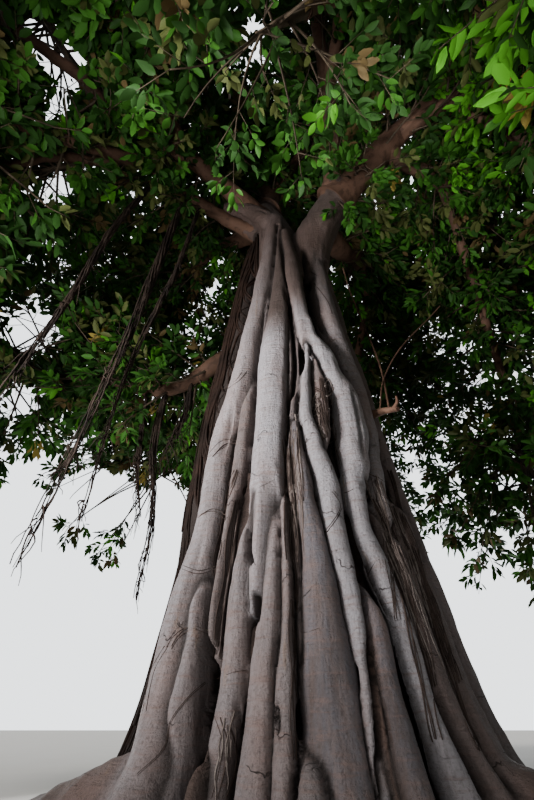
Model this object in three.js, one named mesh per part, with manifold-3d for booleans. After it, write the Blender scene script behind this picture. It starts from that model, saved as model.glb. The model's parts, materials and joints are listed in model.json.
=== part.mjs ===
// Moreton Bay fig: a fluted trunk with a root flare, its boughs, hanging aerial roots and foliage.
// Millimetres, +Z up. The origin is on the ground under the trunk, -Y is the front, +X is the right.
// Angles round the trunk are degrees from the front, positive to the right.
import * as THREE from 'three';
import { mergeVertices } from 'three/addons/utils/BufferGeometryUtils.js';
import Module from 'manifold-3d';

const wasm = await Module();
wasm.setup();

const METRE = 1000;
const WELD = 0.001;
const DEGREE = Math.PI / 180;
const GAP = 0.3;
const WOOD_TOLERANCE = 3;
const LEAF_TOLERANCE = 6;

// Trunk: it narrows evenly with height above a flare that dies out over the first metre
const TRUNK_RADIUS = 2.01;
const TRUNK_TAPER = 0.106;
const FLARE = 0.6;
const FLARE_HEIGHT = 0.5;
const CORE_DEPTH = 0.3;
const CORE_TOP = 12.4;
const CORE_SIDES = 14;
const TRIM_SIZE = 60;
const COLUMN_STAND = 0.72;
const COLUMN_SIDES = 6;
const BELOW_GROUND = -0.4;
const LEVEL_MARGIN = 0.2;
const TRUNK_LEVELS = [BELOW_GROUND, 0, 0.35, 0.8, 1.4, 2.3, 3.4, 4.6, 5.4, 6.5, 8.2, 10.2, 12.2];

// Grown-together columns. Each row is a height in metres, an angle and a radius in metres, and stand is
// how far a column's middle lies inside the trunk's radius, as a share of its own
const COLUMNS = [
  { name: 'left pale', stand: 0.4, rows: [[0, -48, 0.42], [0.7, -52, 0.35], [1.3, -58, 0.33],
    [2.2, -62, 0.27], [3.2, -57, 0.22], [4.5, -59, 0.24], [5.4, -48, 0.29], [6.5, -45, 0.24],
    [8.4, -38, 0.25], [12.2, -32, 0.2]] },
  { name: 'centre pale', rows: [[1.9, -21, 0.14], [3.2, -22, 0.26], [6.1, -21, 0.29], [7.7, -17, 0.23],
    [9.4, -17, 0.1]] },
  { name: 'left leg', rows: [[0.9, -29, 0.12], [1.3, -29, 0.15], [2.1, -30, 0.14], [2.9, -27, 0.1]] },
  { name: 'right leg', rows: [[0, -19, 0.2], [0.7, -19, 0.15], [1.3, -19, 0.13], [2.8, -19, 0.2]] },
  { name: 'panel', stand: 0.95, rows: [[0, 3, 0.3], [1.4, 1, 0.31], [2, 0, 0.25], [3.4, -2, 0.1]] },
  { name: 'knee', stand: 0.4, rows: [[0, -6, 0.17], [0.7, -6, 0.14], [1.1, -5, 0.1]] },
  { name: 'slender', stand: 0.6, rows: [[0.7, 13, 0.05], [1.5, 12, 0.05], [2.1, 11, 0.09], [3.4, 9, 0.16],
    [4, 5, 0.16], [4.6, 1, 0.11], [5.5, 6, 0.09]] },
  { name: 'slip', rows: [[0, 16, 0.24], [0.7, 17, 0.18], [1.8, 19, 0.11], [2.4, 15, 0.07]] },
  { name: 'crossing', rows: [[0, 33, 0.24], [0.7, 30, 0.17], [1.3, 28, 0.12], [2.3, 26, 0.16],
    [2.9, 21, 0.13], [3.4, 21, 0.14], [4.1, 26, 0.21], [5.2, 34, 0.22], [5.9, 23, 0.2], [6.7, 9, 0.18],
    [9.2, 0, 0.24], [11.2, -8, 0.16]] },
  { name: 'right upper', rows: [[3.3, 36, 0.12], [4.8, 49, 0.16], [5.8, 54, 0.16], [7.1, 41, 0.27],
    [8.3, 46, 0.25], [11.6, 54, 0.18]] },
  { name: 'right foot', rows: [[0, 40, 0.34], [1.5, 37, 0.2], [3.4, 33, 0.1]] },
  { name: 'buttress', rows: [[0, 48, 0.6], [0.8, 47, 0.38], [2, 49, 0.26], [3.6, 51, 0.16]] },
  { name: 'right edge', rows: [[0, 66, 0.5], [1.5, 64, 0.34], [2.3, 65, 0.3], [3, 66, 0.15], [4.4, 68, 0.15],
    [6, 67, 0.2], [11.8, 72, 0.22]] },
  { name: 'right side', rows: [[0, 96, 0.46], [2, 92, 0.32], [5, 99, 0.26], [11.6, 96, 0.22]] },
  { name: 'back right', rows: [[0, 128, 0.5], [1.6, 121, 0.34], [4.5, 130, 0.28], [8, 123, 0.24],
    [11.6, 130, 0.22]] },
  { name: 'back strand', stand: 0.3, rows: [[0, 141, 0.2], [2, 147, 0.14], [5, 139, 0.17], [8, 151, 0.14],
    [11, 143, 0.12]] },
  { name: 'back', rows: [[0, 160, 0.46], [2, 166, 0.32], [6, 158, 0.26], [11.8, 166, 0.22]] },
  { name: 'back left', rows: [[0, -166, 0.5], [2, -161, 0.34], [5.5, -170, 0.26], [11.8, -158, 0.22]] },
  { name: 'left strand', stand: 0.3, rows: [[0, -146, 0.2], [2.5, -151, 0.15], [6, -143, 0.16],
    [9, -149, 0.12]] },
  { name: 'far left', rows: [[0, -132, 0.46], [2, -128, 0.33], [6.5, -133, 0.26], [11.8, -126, 0.22]] },
  { name: 'left side', rows: [[0, -112, 0.42], [2, -109, 0.3], [6, -113, 0.24], [11.8, -106, 0.2]] },
  { name: 'rope curtain', stand: -0.1, rows: [[0, -96, 0.2], [2.5, -93, 0.14], [4.5, -92, 0.22],
    [6, -91, 0.25], [9, -86, 0.22], [12, -80, 0.16]] },
];

// The trunk parts into two thick limbs below the crown
const FORKS = [
  { name: 'left fork', points: [[0, 0, 9.6], [-0.3, 0.05, 11.8], [-0.6, 0.1, 13.9]],
    radii: [0.8, 0.66, 0.34] },
  { name: 'right fork', points: [[0.2, 0, 9.4], [0.75, -0.4, 11.4], [1.35, -0.85, 12.5]],
    radii: [0.74, 0.56, 0.46] },
];
const FORK_SIDES = 9;

// Roots that run out over the ground from the flare
const SURFACE_ROOTS = [
  { name: 'front left',
    points: [[-1.2, -0.9, 0.5], [-1.9, -0.9, 0.42], [-3.0, -0.35, 0.14], [-4.1, 0.5, -0.12]],
    radii: [0.5, 0.36, 0.28, 0.14] },
  { name: 'front right', points: [[1.4, -1.2, 0.4], [2.3, -1.9, 0.2], [3.1, -2.3, -0.14]],
    radii: [0.5, 0.34, 0.14] },
  { name: 'right', points: [[1.7, 0.2, 0.4], [2.8, 0.5, 0.18], [4.0, 0.3, -0.14]],
    radii: [0.48, 0.32, 0.14] },
  { name: 'back', points: [[0.3, 1.8, 0.4], [0.7, 2.9, 0.16], [0.5, 3.9, -0.12]],
    radii: [0.48, 0.3, 0.13] },
  { name: 'back left', points: [[-1.4, 1.3, 0.4], [-2.4, 2.1, 0.16], [-3.5, 2.5, -0.12]],
    radii: [0.46, 0.3, 0.13] },
];
const SURFACE_ROOT_SIDES = 7;
const LIMB_RINGS = 4;

// Foliage: masses stand in rings round the trunk, each a ball flattened by SQUASH
const SQUASH = 0.8;
const TIP_DEPTH = 0.85;
const TIP_SHARE = 0.8;
const SKIRT_TILT = 1.2;
const SKIRT_LOW_SIDE = 10;
const RINGS = [
  { name: 'skirt', count: 8, start: 167.5, out: 9.0, height: 7.7, radius: 4.3 },
  { name: 'shoulder', count: 8, start: 190, out: 8.9, height: 11.9, radius: 4.4 },
  { name: 'upper', count: 6, start: 212, out: 8.4, height: 16.7, radius: 4.8 },
  { name: 'top', count: 3, start: 80, out: 3.4, height: 19.4, radius: 4.6 },
];
const FRONT_LOW = { name: 'front_low', angle: 263, out: 5.4, height: 6.5, radius: 1.9 };

// Boughs: a parent limb, how far along it they leave, points they pass in metres, the mass they enter
// and their radii where they leave and where they end
const BOUGHS = [
  { name: 'left_front', parent: 'left fork', at: 0.75,
    via: [[-2.3, -1.5, 13.1], [-4.8, -3.1, 13.1]], mass: 'upper_1', radii: [0.3, 0.15] },
  { name: 'left', parent: 'left fork', at: 0.55,
    via: [[-2.2, -0.5, 12.75], [-4.3, -2.1, 12.5]], mass: 'shoulder_1', radii: [0.24, 0.13] },
  { name: 'front', parent: 'right fork', at: 0.95,
    via: [[1.25, -2.2, 13.9], [0.72, -4.5, 16]], mass: 'upper_2', radii: [0.27, 0.14] },
  { name: 'right_front', parent: 'right fork', at: 0.98,
    via: [[3, -1.9, 14], [4.6, -2.75, 15.3]], mass: 'upper_3', radii: [0.42, 0.2] },
  { name: 'right', parent: 'right_front', at: 0.4, via: [[4.4, -1.1, 13.3]], mass: 'shoulder_5',
    radii: [0.24, 0.14] },
  { name: 'back_right', parent: 'right fork', at: 0.7,
    via: [[2.2, 1.1, 13], [4.4, 2.7, 15]], mass: 'upper_4', radii: [0.34, 0.16] },
  { name: 'back', parent: 'left fork', at: 0.6,
    via: [[-0.2, 2.2, 13.8], [-0.3, 4.3, 15.2]], mass: 'upper_5', radii: [0.32, 0.15] },
  { name: 'back_left', parent: 'left fork', at: 0.8,
    via: [[-2.3, 1.6, 14.3], [-4.3, 2.6, 15.4]], mass: 'upper_6', radii: [0.3, 0.15] },
  { name: 'leader', parent: 'left fork', at: 0.97, via: [[-0.3, 0.5, 15.8]], mass: 'top_1',
    radii: [0.34, 0.16] },
  { name: 'top_left', parent: 'leader', at: 0.45, via: [], lift: 0.3, mass: 'top_2', radii: [0.2, 0.13] },
  { name: 'top_right', parent: 'leader', at: 0.6, via: [], lift: 0.2, mass: 'top_3', radii: [0.19, 0.13] },
  { name: 'left_low', parent: 'trunk', start: [-0.5, 0.5, 8.1],
    via: [[-1.65, 1.25, 8.4], [-3.15, 2.05, 8.05]], mass: 'skirt_1', radii: [0.26, 0.12] },
  { name: 'left_skirt', parent: 'left', at: 0.76, via: [], lift: -0.1, mass: 'skirt_2',
    radii: [0.14, 0.1] },
  { name: 'front_left', parent: 'left_front', at: 0.45, via: [], lift: 0.5, mass: 'shoulder_2',
    radii: [0.18, 0.12] },
  { name: 'front_left_skirt', parent: 'front_left', at: 0.5, via: [], lift: 0.2, mass: 'skirt_3',
    radii: [0.14, 0.1] },
  { name: 'front_shoulder', parent: 'front', at: 0.5, via: [], lift: 0.9, mass: 'shoulder_3',
    radii: [0.17, 0.12] },
  { name: 'front_skirt', parent: 'front_shoulder', at: 0.5, via: [], lift: 0.4, mass: 'skirt_4',
    radii: [0.14, 0.1] },
  { name: 'front_low', parent: 'front_skirt', at: 0.4, via: [], lift: -0.1, mass: 'front_low',
    radii: [0.1, 0.07] },
  { name: 'front_right', parent: 'right_front', at: 0.5, via: [], lift: 0.6, mass: 'shoulder_4',
    radii: [0.2, 0.12] },
  { name: 'front_right_skirt', parent: 'front_right', at: 0.5, via: [], lift: 0.3, mass: 'skirt_5',
    radii: [0.14, 0.1] },
  { name: 'right_skirt', parent: 'right', at: 0.6, via: [], lift: 0.1, mass: 'skirt_6',
    radii: [0.15, 0.1] },
  { name: 'right_back', parent: 'back_right', at: 0.45, via: [], lift: 0.5, mass: 'shoulder_6',
    radii: [0.19, 0.12] },
  { name: 'right_back_skirt', parent: 'right_back', at: 0.5, via: [], lift: 0.2, mass: 'skirt_7',
    radii: [0.14, 0.1] },
  { name: 'back_shoulder', parent: 'back', at: 0.5, via: [], lift: 0.5, mass: 'shoulder_7',
    radii: [0.18, 0.12] },
  { name: 'back_skirt', parent: 'back_shoulder', at: 0.5, via: [], lift: 0.2, mass: 'skirt_8',
    radii: [0.14, 0.1] },
  { name: 'left_back', parent: 'back_left', at: 0.5, via: [], lift: 0.4, mass: 'shoulder_8',
    radii: [0.17, 0.12] },
];
const BOUGH_SIDES = 6;
const BOUGH_RINGS = 7;
const MIDDLE_SHARE = 0.42;
const CLEAR_OF_LIMB = 0.06;
const CLEAR_OF_TRUNK = 0.1;
const COLLAR_SWELL = 1.1;
const LIMB_SAMPLES = 40;

// Aerial roots: the bough they hang from, how far along it, where they end in metres and their radii
const AERIAL_ROOTS = [
  { name: 'left_outer', bough: 'left', at: 0.65, foot: [-4.5, -1.8, 4.0], radii: [0.09, 0.05] },
  { name: 'left_middle', bough: 'left', at: 0.51, foot: [-3.52, -1.36, 2.5], radii: [0.12, 0.06] },
  { name: 'left_inner', bough: 'left', at: 0.43, foot: [-3.1, -0.95, 3.2], radii: [0.08, 0.04] },
  { name: 'low_elbow', bough: 'left_low', at: 0.47, foot: [-2.89, 1.75, 5.9], radii: [0.13, 0.08] },
  { name: 'low_thick', bough: 'left_low', at: 0.63, foot: [-3.02, 2.05, 2.9], radii: [0.12, 0.06] },
  { name: 'low_thin', bough: 'left_low', at: 0.73, foot: [-3.35, 2.3, 4.6], radii: [0.07, 0.035] },
];
const AERIAL_SIDES = 6;
const AERIAL_RINGS = 7;
const AERIAL_SWAY = 0.12;
const SWAY_SHARES = [0.35, 0.7];
const SWAY_TURNS = { x: 5, y: 4 };

// Twigs and leaves. A leaf here stands for a whole spray
const LEAF = { length: 2.3, width: 1.35, thick: 0.07 };
const SMALL_LEAF = { length: 1.0, width: 0.6, thick: 0.04 };
const BRANCHES = 7;
const TURN_JITTER = 0.5;
const TWIG_STARTS = [0.25, 0.95];
const REACH_STEP = 60;
const SHORTEST_TWIG = 1.25;
const LEAF_TRIES = 4;
const LEAF_CLEARANCE = 40;
const LEAF_SIDES = [0, -1, 1];
const SIDE_LEAF_TURN = 64;
const LEAF_STEP = 0.22;
const ROOT_SUNK = 0.02;
const TWIG_SIDES = 3;
const STEM_LENGTH = 0.5;
const STEM_OVERLAP = 0.15;
const STEM_WIDTHS = [0.8, 0.76];
const HUB_RADIUS = 0.06;
const BRANCH_RADIUS = 0.05;
const TWIG_TIP_RADIUS = 0.03;
const CELL_MARGIN = 0.12;
const LEAF_DROOP = 0.25;
const DROOP_SPREAD = [0.2, 1.6];
const TURN_SPREAD = [0.8, 1.2];
const STEEP_LEAF_PUSH = 0.6;
const STEEPEST_LEAF = 0.93;
const LEAF_ROLL = 60;
const GOLDEN_TURN = Math.PI * (3 - Math.sqrt(5));
const SEED = 20981;

const BARK = { color: 0xa39a98, roughness: 0.85, metalness: 0 };
const BOUGH_BARK = { color: 0x6b4f3f, roughness: 0.85, metalness: 0 };
const AERIAL_BARK = { color: 0x3a2c25, roughness: 0.9, metalness: 0 };
const LEAVES = { color: 0x2f4a1c, roughness: 0.5, metalness: 0 };

function seeded(seed) {
  let state = seed >>> 0;
  return () => {
    state = (state + 0x6d2b79f5) >>> 0;
    let mixed = Math.imul(state ^ (state >>> 15), 1 | state);
    mixed = (mixed + Math.imul(mixed ^ (mixed >>> 7), 61 | mixed)) ^ mixed;
    return ((mixed ^ (mixed >>> 14)) >>> 0) / 4294967296;
  };
}

function between(ends, random) {
  return THREE.MathUtils.lerp(ends[0], ends[1], random());
}

function point(metres) {
  return new THREE.Vector3(...metres).multiplyScalar(METRE);
}

function toSolid(geometry) {
  const bare = new THREE.BufferGeometry();
  bare.setAttribute('position', geometry.getAttribute('position').clone());
  bare.setIndex(geometry.getIndex());
  const welded = mergeVertices(bare, WELD);
  const vertProperties = new Float32Array(welded.getAttribute('position').array);
  const triVerts = new Uint32Array(welded.getIndex().array);
  return new wasm.Manifold(new wasm.Mesh({ numProp: 3, vertProperties, triVerts }));
}

function toGeometry(solid) {
  const mesh = solid.getMesh();
  const geometry = new THREE.BufferGeometry();
  geometry.setAttribute('position', new THREE.BufferAttribute(new Float32Array(mesh.vertProperties), 3));
  geometry.setIndex(new THREE.BufferAttribute(new Uint32Array(mesh.triVerts), 1));
  geometry.computeVertexNormals();
  return geometry;
}

function joined(solids) {
  return solids.reduce((whole, solid) => whole.add(solid));
}

// The largest piece, with any hollow that joining sealed filled and loose scraps dropped
function largestPiece(solid, tolerance) {
  const pieces = solid.asOriginal().simplify(tolerance).decompose();
  return pieces.reduce((most, piece) => (piece.volume() > most.volume() ? piece : most));
}

// A cylinder bent along rings of { centre, across, along, radius }
function tubeThroughRings(rings, sides) {
  const last = rings.length - 1;
  const geometry = new THREE.CylinderGeometry(1, 1, 1, sides, last);
  const places = geometry.getAttribute('position');
  for (let i = 0; i < places.count; i += 1) {
    const ring = rings[Math.round((places.getY(i) + 0.5) * last)];
    const beside = new THREE.Vector3().crossVectors(ring.across, ring.along);
    const place = ring.centre.clone();
    place.addScaledVector(ring.across, places.getX(i) * ring.radius);
    place.addScaledVector(beside, places.getZ(i) * ring.radius);
    places.setXYZ(i, place.x, place.y, place.z);
  }
  return geometry;
}

function ringsAlong(curve, radiusAt, count) {
  const frames = curve.computeFrenetFrames(count, false);
  return frames.tangents.map((along, i) => {
    const share = i / count;
    const centre = curve.getPointAt(share);
    return { centre, along, across: frames.normals[i], radius: radiusAt(share) * METRE };
  });
}

function spread(rows, share) {
  const place = share * (rows.length - 1);
  const low = Math.min(Math.floor(place), rows.length - 2);
  return THREE.MathUtils.lerp(rows[low], rows[low + 1], place - low);
}

function limbSolid(points, radii, sides, count) {
  const curve = new THREE.CatmullRomCurve3(points.map(point));
  return toSolid(tubeThroughRings(ringsAlong(curve, (share) => spread(radii, share), count), sides));
}

function trunkRadius(height) {
  return TRUNK_RADIUS - TRUNK_TAPER * height + FLARE * Math.exp(-Math.max(height, 0) / FLARE_HEIGHT);
}

function rowAt(rows, height) {
  const held = THREE.MathUtils.clamp(height, rows[0][0], rows[rows.length - 1][0]);
  const next = Math.max(1, rows.findIndex((row) => row[0] >= held));
  const share = (held - rows[next - 1][0]) / (rows[next][0] - rows[next - 1][0]);
  const eased = THREE.MathUtils.smoothstep(share, 0, 1);
  return [1, 2].map((field) => THREE.MathUtils.lerp(rows[next - 1][field], rows[next][field], eased));
}

function columnSolid({ rows, stand = COLUMN_STAND }) {
  const first = rows[0][0];
  const last = rows[rows.length - 1][0];
  const inner = TRUNK_LEVELS.filter((level) => level > first + LEVEL_MARGIN && level < last - LEVEL_MARGIN);
  const levels = first === 0 ? [BELOW_GROUND, 0, ...inner, last] : [first, ...inner, last];
  const rings = levels.map((level) => {
    const [angle, radius] = rowAt(rows, level);
    const out = trunkRadius(level) - stand * radius;
    const turn = angle * DEGREE;
    const centre = point([out * Math.sin(turn), -out * Math.cos(turn), level]);
    const along = new THREE.Vector3(0, 0, 1);
    return { centre, along, across: new THREE.Vector3(1, 0, 0), radius: radius * METRE };
  });
  return toSolid(tubeThroughRings(rings, COLUMN_SIDES));
}

function coreSolid() {
  const rings = [...TRUNK_LEVELS, CORE_TOP].map((level) => ({
    centre: point([0, 0, level]),
    along: new THREE.Vector3(0, 0, 1),
    across: new THREE.Vector3(1, 0, 0),
    radius: (trunkRadius(level) - CORE_DEPTH) * METRE,
  }));
  return toSolid(tubeThroughRings(rings, CORE_SIDES));
}

function groundTrim() {
  const box = new THREE.BoxGeometry(TRIM_SIZE * METRE, TRIM_SIZE * METRE, TRIM_SIZE * METRE);
  box.translate(0, 0, (-TRIM_SIZE / 2) * METRE);
  return toSolid(box);
}

// Where each mass stands, by name
function placeMasses() {
  const masses = new Map();
  for (const ring of RINGS) {
    for (let i = 0; i < ring.count; i += 1) {
      const angle = ring.start + (i * 360) / ring.count;
      const dip = ring.name === 'skirt' ? SKIRT_TILT * Math.cos((angle - SKIRT_LOW_SIDE) * DEGREE) : 0;
      masses.set(`${ring.name}_${i + 1}`, { ...ring, angle, height: ring.height - dip });
    }
  }
  masses.set(FRONT_LOW.name, FRONT_LOW);
  for (const mass of masses.values()) {
    const turn = mass.angle * DEGREE;
    mass.centre = point([mass.out * Math.cos(turn), mass.out * Math.sin(turn), mass.height]);
    mass.reach = mass.radius * METRE;
  }
  return masses;
}

// Distance from a mass's centre, in which the flattened mass is a ball
function distanceIn(mass, place) {
  const offset = place.clone().sub(mass.centre);
  offset.z /= SQUASH;
  return offset.length();
}

// Whether a place is in a mass's own space: inside its ball, on its side of every plane between masses
function inOwnSpace(mass, place, masses) {
  const own = distanceIn(mass, place);
  if (own > mass.reach) return false;
  const power = own ** 2 - mass.reach ** 2;
  for (const other of masses.values()) {
    if (other === mass) continue;
    const apart = other.centre.distanceTo(mass.centre);
    const margin = 2 * apart * CELL_MARGIN * METRE;
    if (power + margin > distanceIn(other, place) ** 2 - other.reach ** 2) return false;
  }
  return true;
}

function placeBoughs(masses, forks) {
  const limbs = new Map();
  for (const fork of forks) limbs.set(fork.name, fork);
  for (const bough of BOUGHS) {
    const parent = limbs.get(bough.parent);
    const start = bough.start ? point(bough.start) : parent.curve.getPointAt(bough.at);
    const mass = masses.get(bough.mass);
    const passed = bough.via.map(point);
    if (!passed.length) {
      const middle = start.clone().lerp(mass.centre, MIDDLE_SHARE);
      middle.z += bough.lift * METRE;
      passed.push(middle);
    }
    const before = passed[passed.length - 1];
    const away = distanceIn(mass, before);
    const tip = mass.centre.clone().lerp(before, Math.min((TIP_DEPTH * mass.reach) / away, TIP_SHARE));
    const curve = new THREE.CatmullRomCurve3([start, ...passed, tip]);
    const radiusAt = (share) => spread(bough.radii, share);
    const rings = ringsAlong(curve, radiusAt, BOUGH_RINGS);
    limbs.set(bough.name, { ...bough, curve, radiusAt, rings, target: mass });
  }
  return limbs;
}

function distanceToLimb(limb, place) {
  const gaps = [];
  for (let i = 0; i <= LIMB_SAMPLES; i += 1) {
    const share = i / LIMB_SAMPLES;
    gaps.push(limb.curve.getPointAt(share).distanceTo(place) - limb.radiusAt(share) * METRE);
  }
  return Math.min(...gaps);
}

const masses = placeMasses();
const forks = FORKS.map((fork) => ({
  ...fork,
  curve: new THREE.CatmullRomCurve3(fork.points.map(point)),
  radiusAt: (share) => spread(fork.radii, share),
}));
const limbs = placeBoughs(masses, forks);
const boughs = [...limbs.values()].filter((limb) => limb.mass);

// A bough leaves its collar at the first ring that is clear of its parent and of the other limbs there
function collarRing(bough) {
  const nearby = [...limbs.values()].filter((limb) => limb !== bough && limb.parent !== bough.name);
  for (let i = 1; i < bough.rings.length - 2; i += 1) {
    const ring = bough.rings[i];
    const needed = ring.radius * COLLAR_SWELL + CLEAR_OF_LIMB * METRE;
    const clear = nearby.every((limb) => distanceToLimb(limb, ring.centre) > needed);
    const flat = Math.hypot(ring.centre.x, ring.centre.y);
    const fromTrunk = flat - (trunkRadius(ring.centre.z / METRE) + CLEAR_OF_TRUNK) * METRE;
    if (clear && (ring.centre.z > CORE_TOP * METRE || fromTrunk > needed)) return i;
  }
  return bough.rings.length - 3;
}
for (const bough of boughs) bough.split = collarRing(bough);

const boughTubes = boughs.map((bough) => {
  const tube = toSolid(tubeThroughRings(bough.rings, BOUGH_SIDES));
  return { bough, tube, reach: tube.boundingBox() };
});

function collarsOn(parentNames) {
  const carried = boughs.filter((bough) => parentNames.includes(bough.parent));
  const collars = carried.map((bough) => bough.rings.slice(0, bough.split + 1));
  return collars.map((rings) => toSolid(tubeThroughRings(rings, BOUGH_SIDES)));
}

function trunkSolid() {
  const parts = [coreSolid(), ...COLUMNS.map((column) => columnSolid(column))];
  for (const fork of FORKS) {
    parts.push(limbSolid(fork.points, fork.radii, FORK_SIDES, LIMB_RINGS));
  }
  for (const root of SURFACE_ROOTS) {
    parts.push(limbSolid(root.points, root.radii, SURFACE_ROOT_SIDES, LIMB_RINGS));
  }
  parts.push(...collarsOn(['trunk', ...FORKS.map((fork) => fork.name)]));
  return largestPiece(joined(parts).subtract(groundTrim()), WOOD_TOLERANCE);
}

function boughSolid(bough) {
  const rings = bough.rings.slice(bough.split);
  const first = rings[0];
  rings[0] = { ...first, centre: first.centre.clone().addScaledVector(first.along, GAP) };
  const parts = [toSolid(tubeThroughRings(rings, BOUGH_SIDES)), ...collarsOn([bough.name])];
  return largestPiece(joined(parts), WOOD_TOLERANCE);
}

// A root hangs under its bough, cut clear of the bough's underside
function aerialRootSolid(root, random) {
  const bough = limbs.get(root.bough);
  const top = bough.curve.getPointAt(root.at);
  const foot = point(root.foot);
  const turn = random() * 2 * Math.PI;
  const places = [top];
  for (const share of SWAY_SHARES) {
    const place = top.clone().lerp(foot, share);
    place.x += AERIAL_SWAY * METRE * Math.sin(turn + SWAY_TURNS.x * share);
    place.y += AERIAL_SWAY * METRE * Math.cos(turn + SWAY_TURNS.y * share);
    places.push(place);
  }
  places.push(foot);
  const curve = new THREE.CatmullRomCurve3(places);
  const rings = ringsAlong(curve, (share) => spread(root.radii, share), AERIAL_RINGS);
  const wide = bough.rings.map((ring) => ({ ...ring, radius: ring.radius + GAP }));
  const cutter = toSolid(tubeThroughRings(wide, BOUGH_SIDES));
  const hung = toSolid(tubeThroughRings(rings, AERIAL_SIDES)).subtract(cutter);
  const lowest = (piece) => piece.boundingBox().min[2];
  return hung.decompose().reduce((low, piece) => (lowest(piece) < lowest(low) ? piece : low));
}

function twigSolid(from, to, startRadius, endRadius) {
  const along = to.clone().sub(from).normalize();
  const level = Math.abs(along.z) > 0.9 ? new THREE.Vector3(1, 0, 0) : new THREE.Vector3(0, 0, 1);
  const across = new THREE.Vector3().crossVectors(along, level).normalize();
  const rings = [
    { centre: from, along, across, radius: startRadius * METRE },
    { centre: to, along, across, radius: endRadius * METRE },
  ];
  return toSolid(tubeThroughRings(rings, TWIG_SIDES));
}

// A leaf is an octahedron drawn out from its root along its rib and flattened
function leafGeometry(root, along, roll, size) {
  const across = new THREE.Vector3().crossVectors(along, new THREE.Vector3(0, 0, 1)).normalize();
  across.applyAxisAngle(along, roll);
  const up = new THREE.Vector3().crossVectors(across, along).normalize();
  const leaf = new THREE.OctahedronGeometry(0.5);
  const frame = new THREE.Matrix4().makeBasis(
    along.clone().multiplyScalar(size.length * METRE),
    across.clone().multiplyScalar(-size.width * METRE),
    up.clone().multiplyScalar(size.thick * METRE),
  );
  leaf.applyMatrix4(frame);
  const middle = root.clone().addScaledVector(along, (size.length / 2 - ROOT_SUNK) * METRE);
  leaf.translate(middle.x, middle.y, middle.z);
  return leaf;
}

// Whether a twig or leaf keeps clear of every bough other than the one that carries it
function clearOfBoughs(solid, carrier) {
  const box = solid.boundingBox();
  const clearance = CLEAR_OF_LIMB * METRE;
  return boughTubes.every(({ bough, tube, reach }) => {
    if (bough === carrier) return true;
    const beyond = (a, b) => [0, 1, 2].some((k) => a.min[k] > b.max[k] + clearance);
    return beyond(box, reach) || beyond(reach, box) || tube.minGap(solid, clearance) >= clearance;
  });
}

function leafPlaces(geometry) {
  const places = geometry.getAttribute('position');
  const corners = [];
  for (let i = 0; i < places.count; i += 1) {
    corners.push(new THREE.Vector3().fromBufferAttribute(places, i));
  }
  const sum = corners.reduce((total, corner) => total.add(corner), new THREE.Vector3());
  const centre = sum.divideScalar(corners.length);
  return [...corners, centre];
}

function leafWay(way, side, random) {
  const along = way.clone();
  const turn = side * SIDE_LEAF_TURN * between(TURN_SPREAD, random);
  along.applyAxisAngle(new THREE.Vector3(0, 0, 1), turn * DEGREE);
  along.z -= LEAF_DROOP * between(DROOP_SPREAD, random);
  if (Math.abs(along.z) > STEEPEST_LEAF * along.length()) along.x += STEEP_LEAF_PUSH;
  return along.normalize();
}

// Twigs branch from one stem by the golden angle, each reaching to the edge of the mass's own space,
// with a leaf at its end and one at either side
function massSolid(mass, bough, random) {
  const tip = bough.rings[bough.rings.length - 1];
  const stemRadii = STEM_WIDTHS.map((width) => width * bough.radii[1]);
  const size = mass === masses.get(FRONT_LOW.name) ? SMALL_LEAF : LEAF;
  const start = tip.centre.clone().addScaledVector(tip.along, GAP);
  const first = tip.centre.clone().addScaledVector(tip.along, STEM_LENGTH * METRE);
  const hub = mass.centre.clone();
  const rings = [
    { ...tip, centre: start, radius: stemRadii[0] * METRE },
    { ...tip, centre: first, radius: stemRadii[1] * METRE },
  ];
  const inStem = first.clone().addScaledVector(tip.along, -STEM_OVERLAP * METRE);
  const parts = [
    toSolid(tubeThroughRings(rings, TWIG_SIDES)),
    twigSolid(inStem, hub, stemRadii[0], HUB_RADIUS),
  ];
  const leaves = [];
  const turn = random() * 2 * Math.PI;
  for (let i = 0; i < BRANCHES; i += 1) {
    const level = 1 - (2 * (i + 0.5)) / BRANCHES;
    const around = turn + i * GOLDEN_TURN + (random() - 0.5) * TURN_JITTER;
    const flat = Math.sqrt(1 - level * level);
    const way = new THREE.Vector3(flat * Math.cos(around), flat * Math.sin(around), level * SQUASH);
    let reach = mass.reach;
    const atReach = () => mass.centre.clone().addScaledVector(way, reach);
    while (reach > 0 && !inOwnSpace(mass, atReach(), masses)) reach -= REACH_STEP;
    const shortest = size.length * METRE * SHORTEST_TWIG;
    if (reach < shortest) continue;
    way.normalize();
    const end = mass.centre.clone().addScaledVector(way, reach - size.length * METRE);
    const from = first.clone().lerp(hub, between(TWIG_STARTS, random));
    const twig = twigSolid(from, end, BRANCH_RADIUS, TWIG_TIP_RADIUS);
    if (!clearOfBoughs(twig, bough)) continue;
    const back = end.clone().sub(from).normalize().multiplyScalar(-LEAF_STEP * METRE);
    const found = [];
    for (const side of LEAF_SIDES) {
      const root = end.clone().addScaledVector(back, 0.5 + Math.abs(side) + side / 2);
      for (let attempt = 0; attempt < LEAF_TRIES; attempt += 1) {
        const roll = (random() - 0.5) * 2 * LEAF_ROLL * DEGREE;
        const leaf = leafGeometry(root, leafWay(way, side, random), roll, size);
        if (!leafPlaces(leaf).every((place) => inOwnSpace(mass, place, masses))) continue;
        const solid = toSolid(leaf);
        if (leaves.some((other) => other.minGap(solid, LEAF_CLEARANCE) < LEAF_CLEARANCE)) continue;
        if (!clearOfBoughs(solid)) continue;
        found.push(solid);
        leaves.push(solid);
        break;
      }
    }
    if (found.length) parts.push(twig, ...found);
  }
  return largestPiece(joined(parts), LEAF_TOLERANCE);
}

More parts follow.
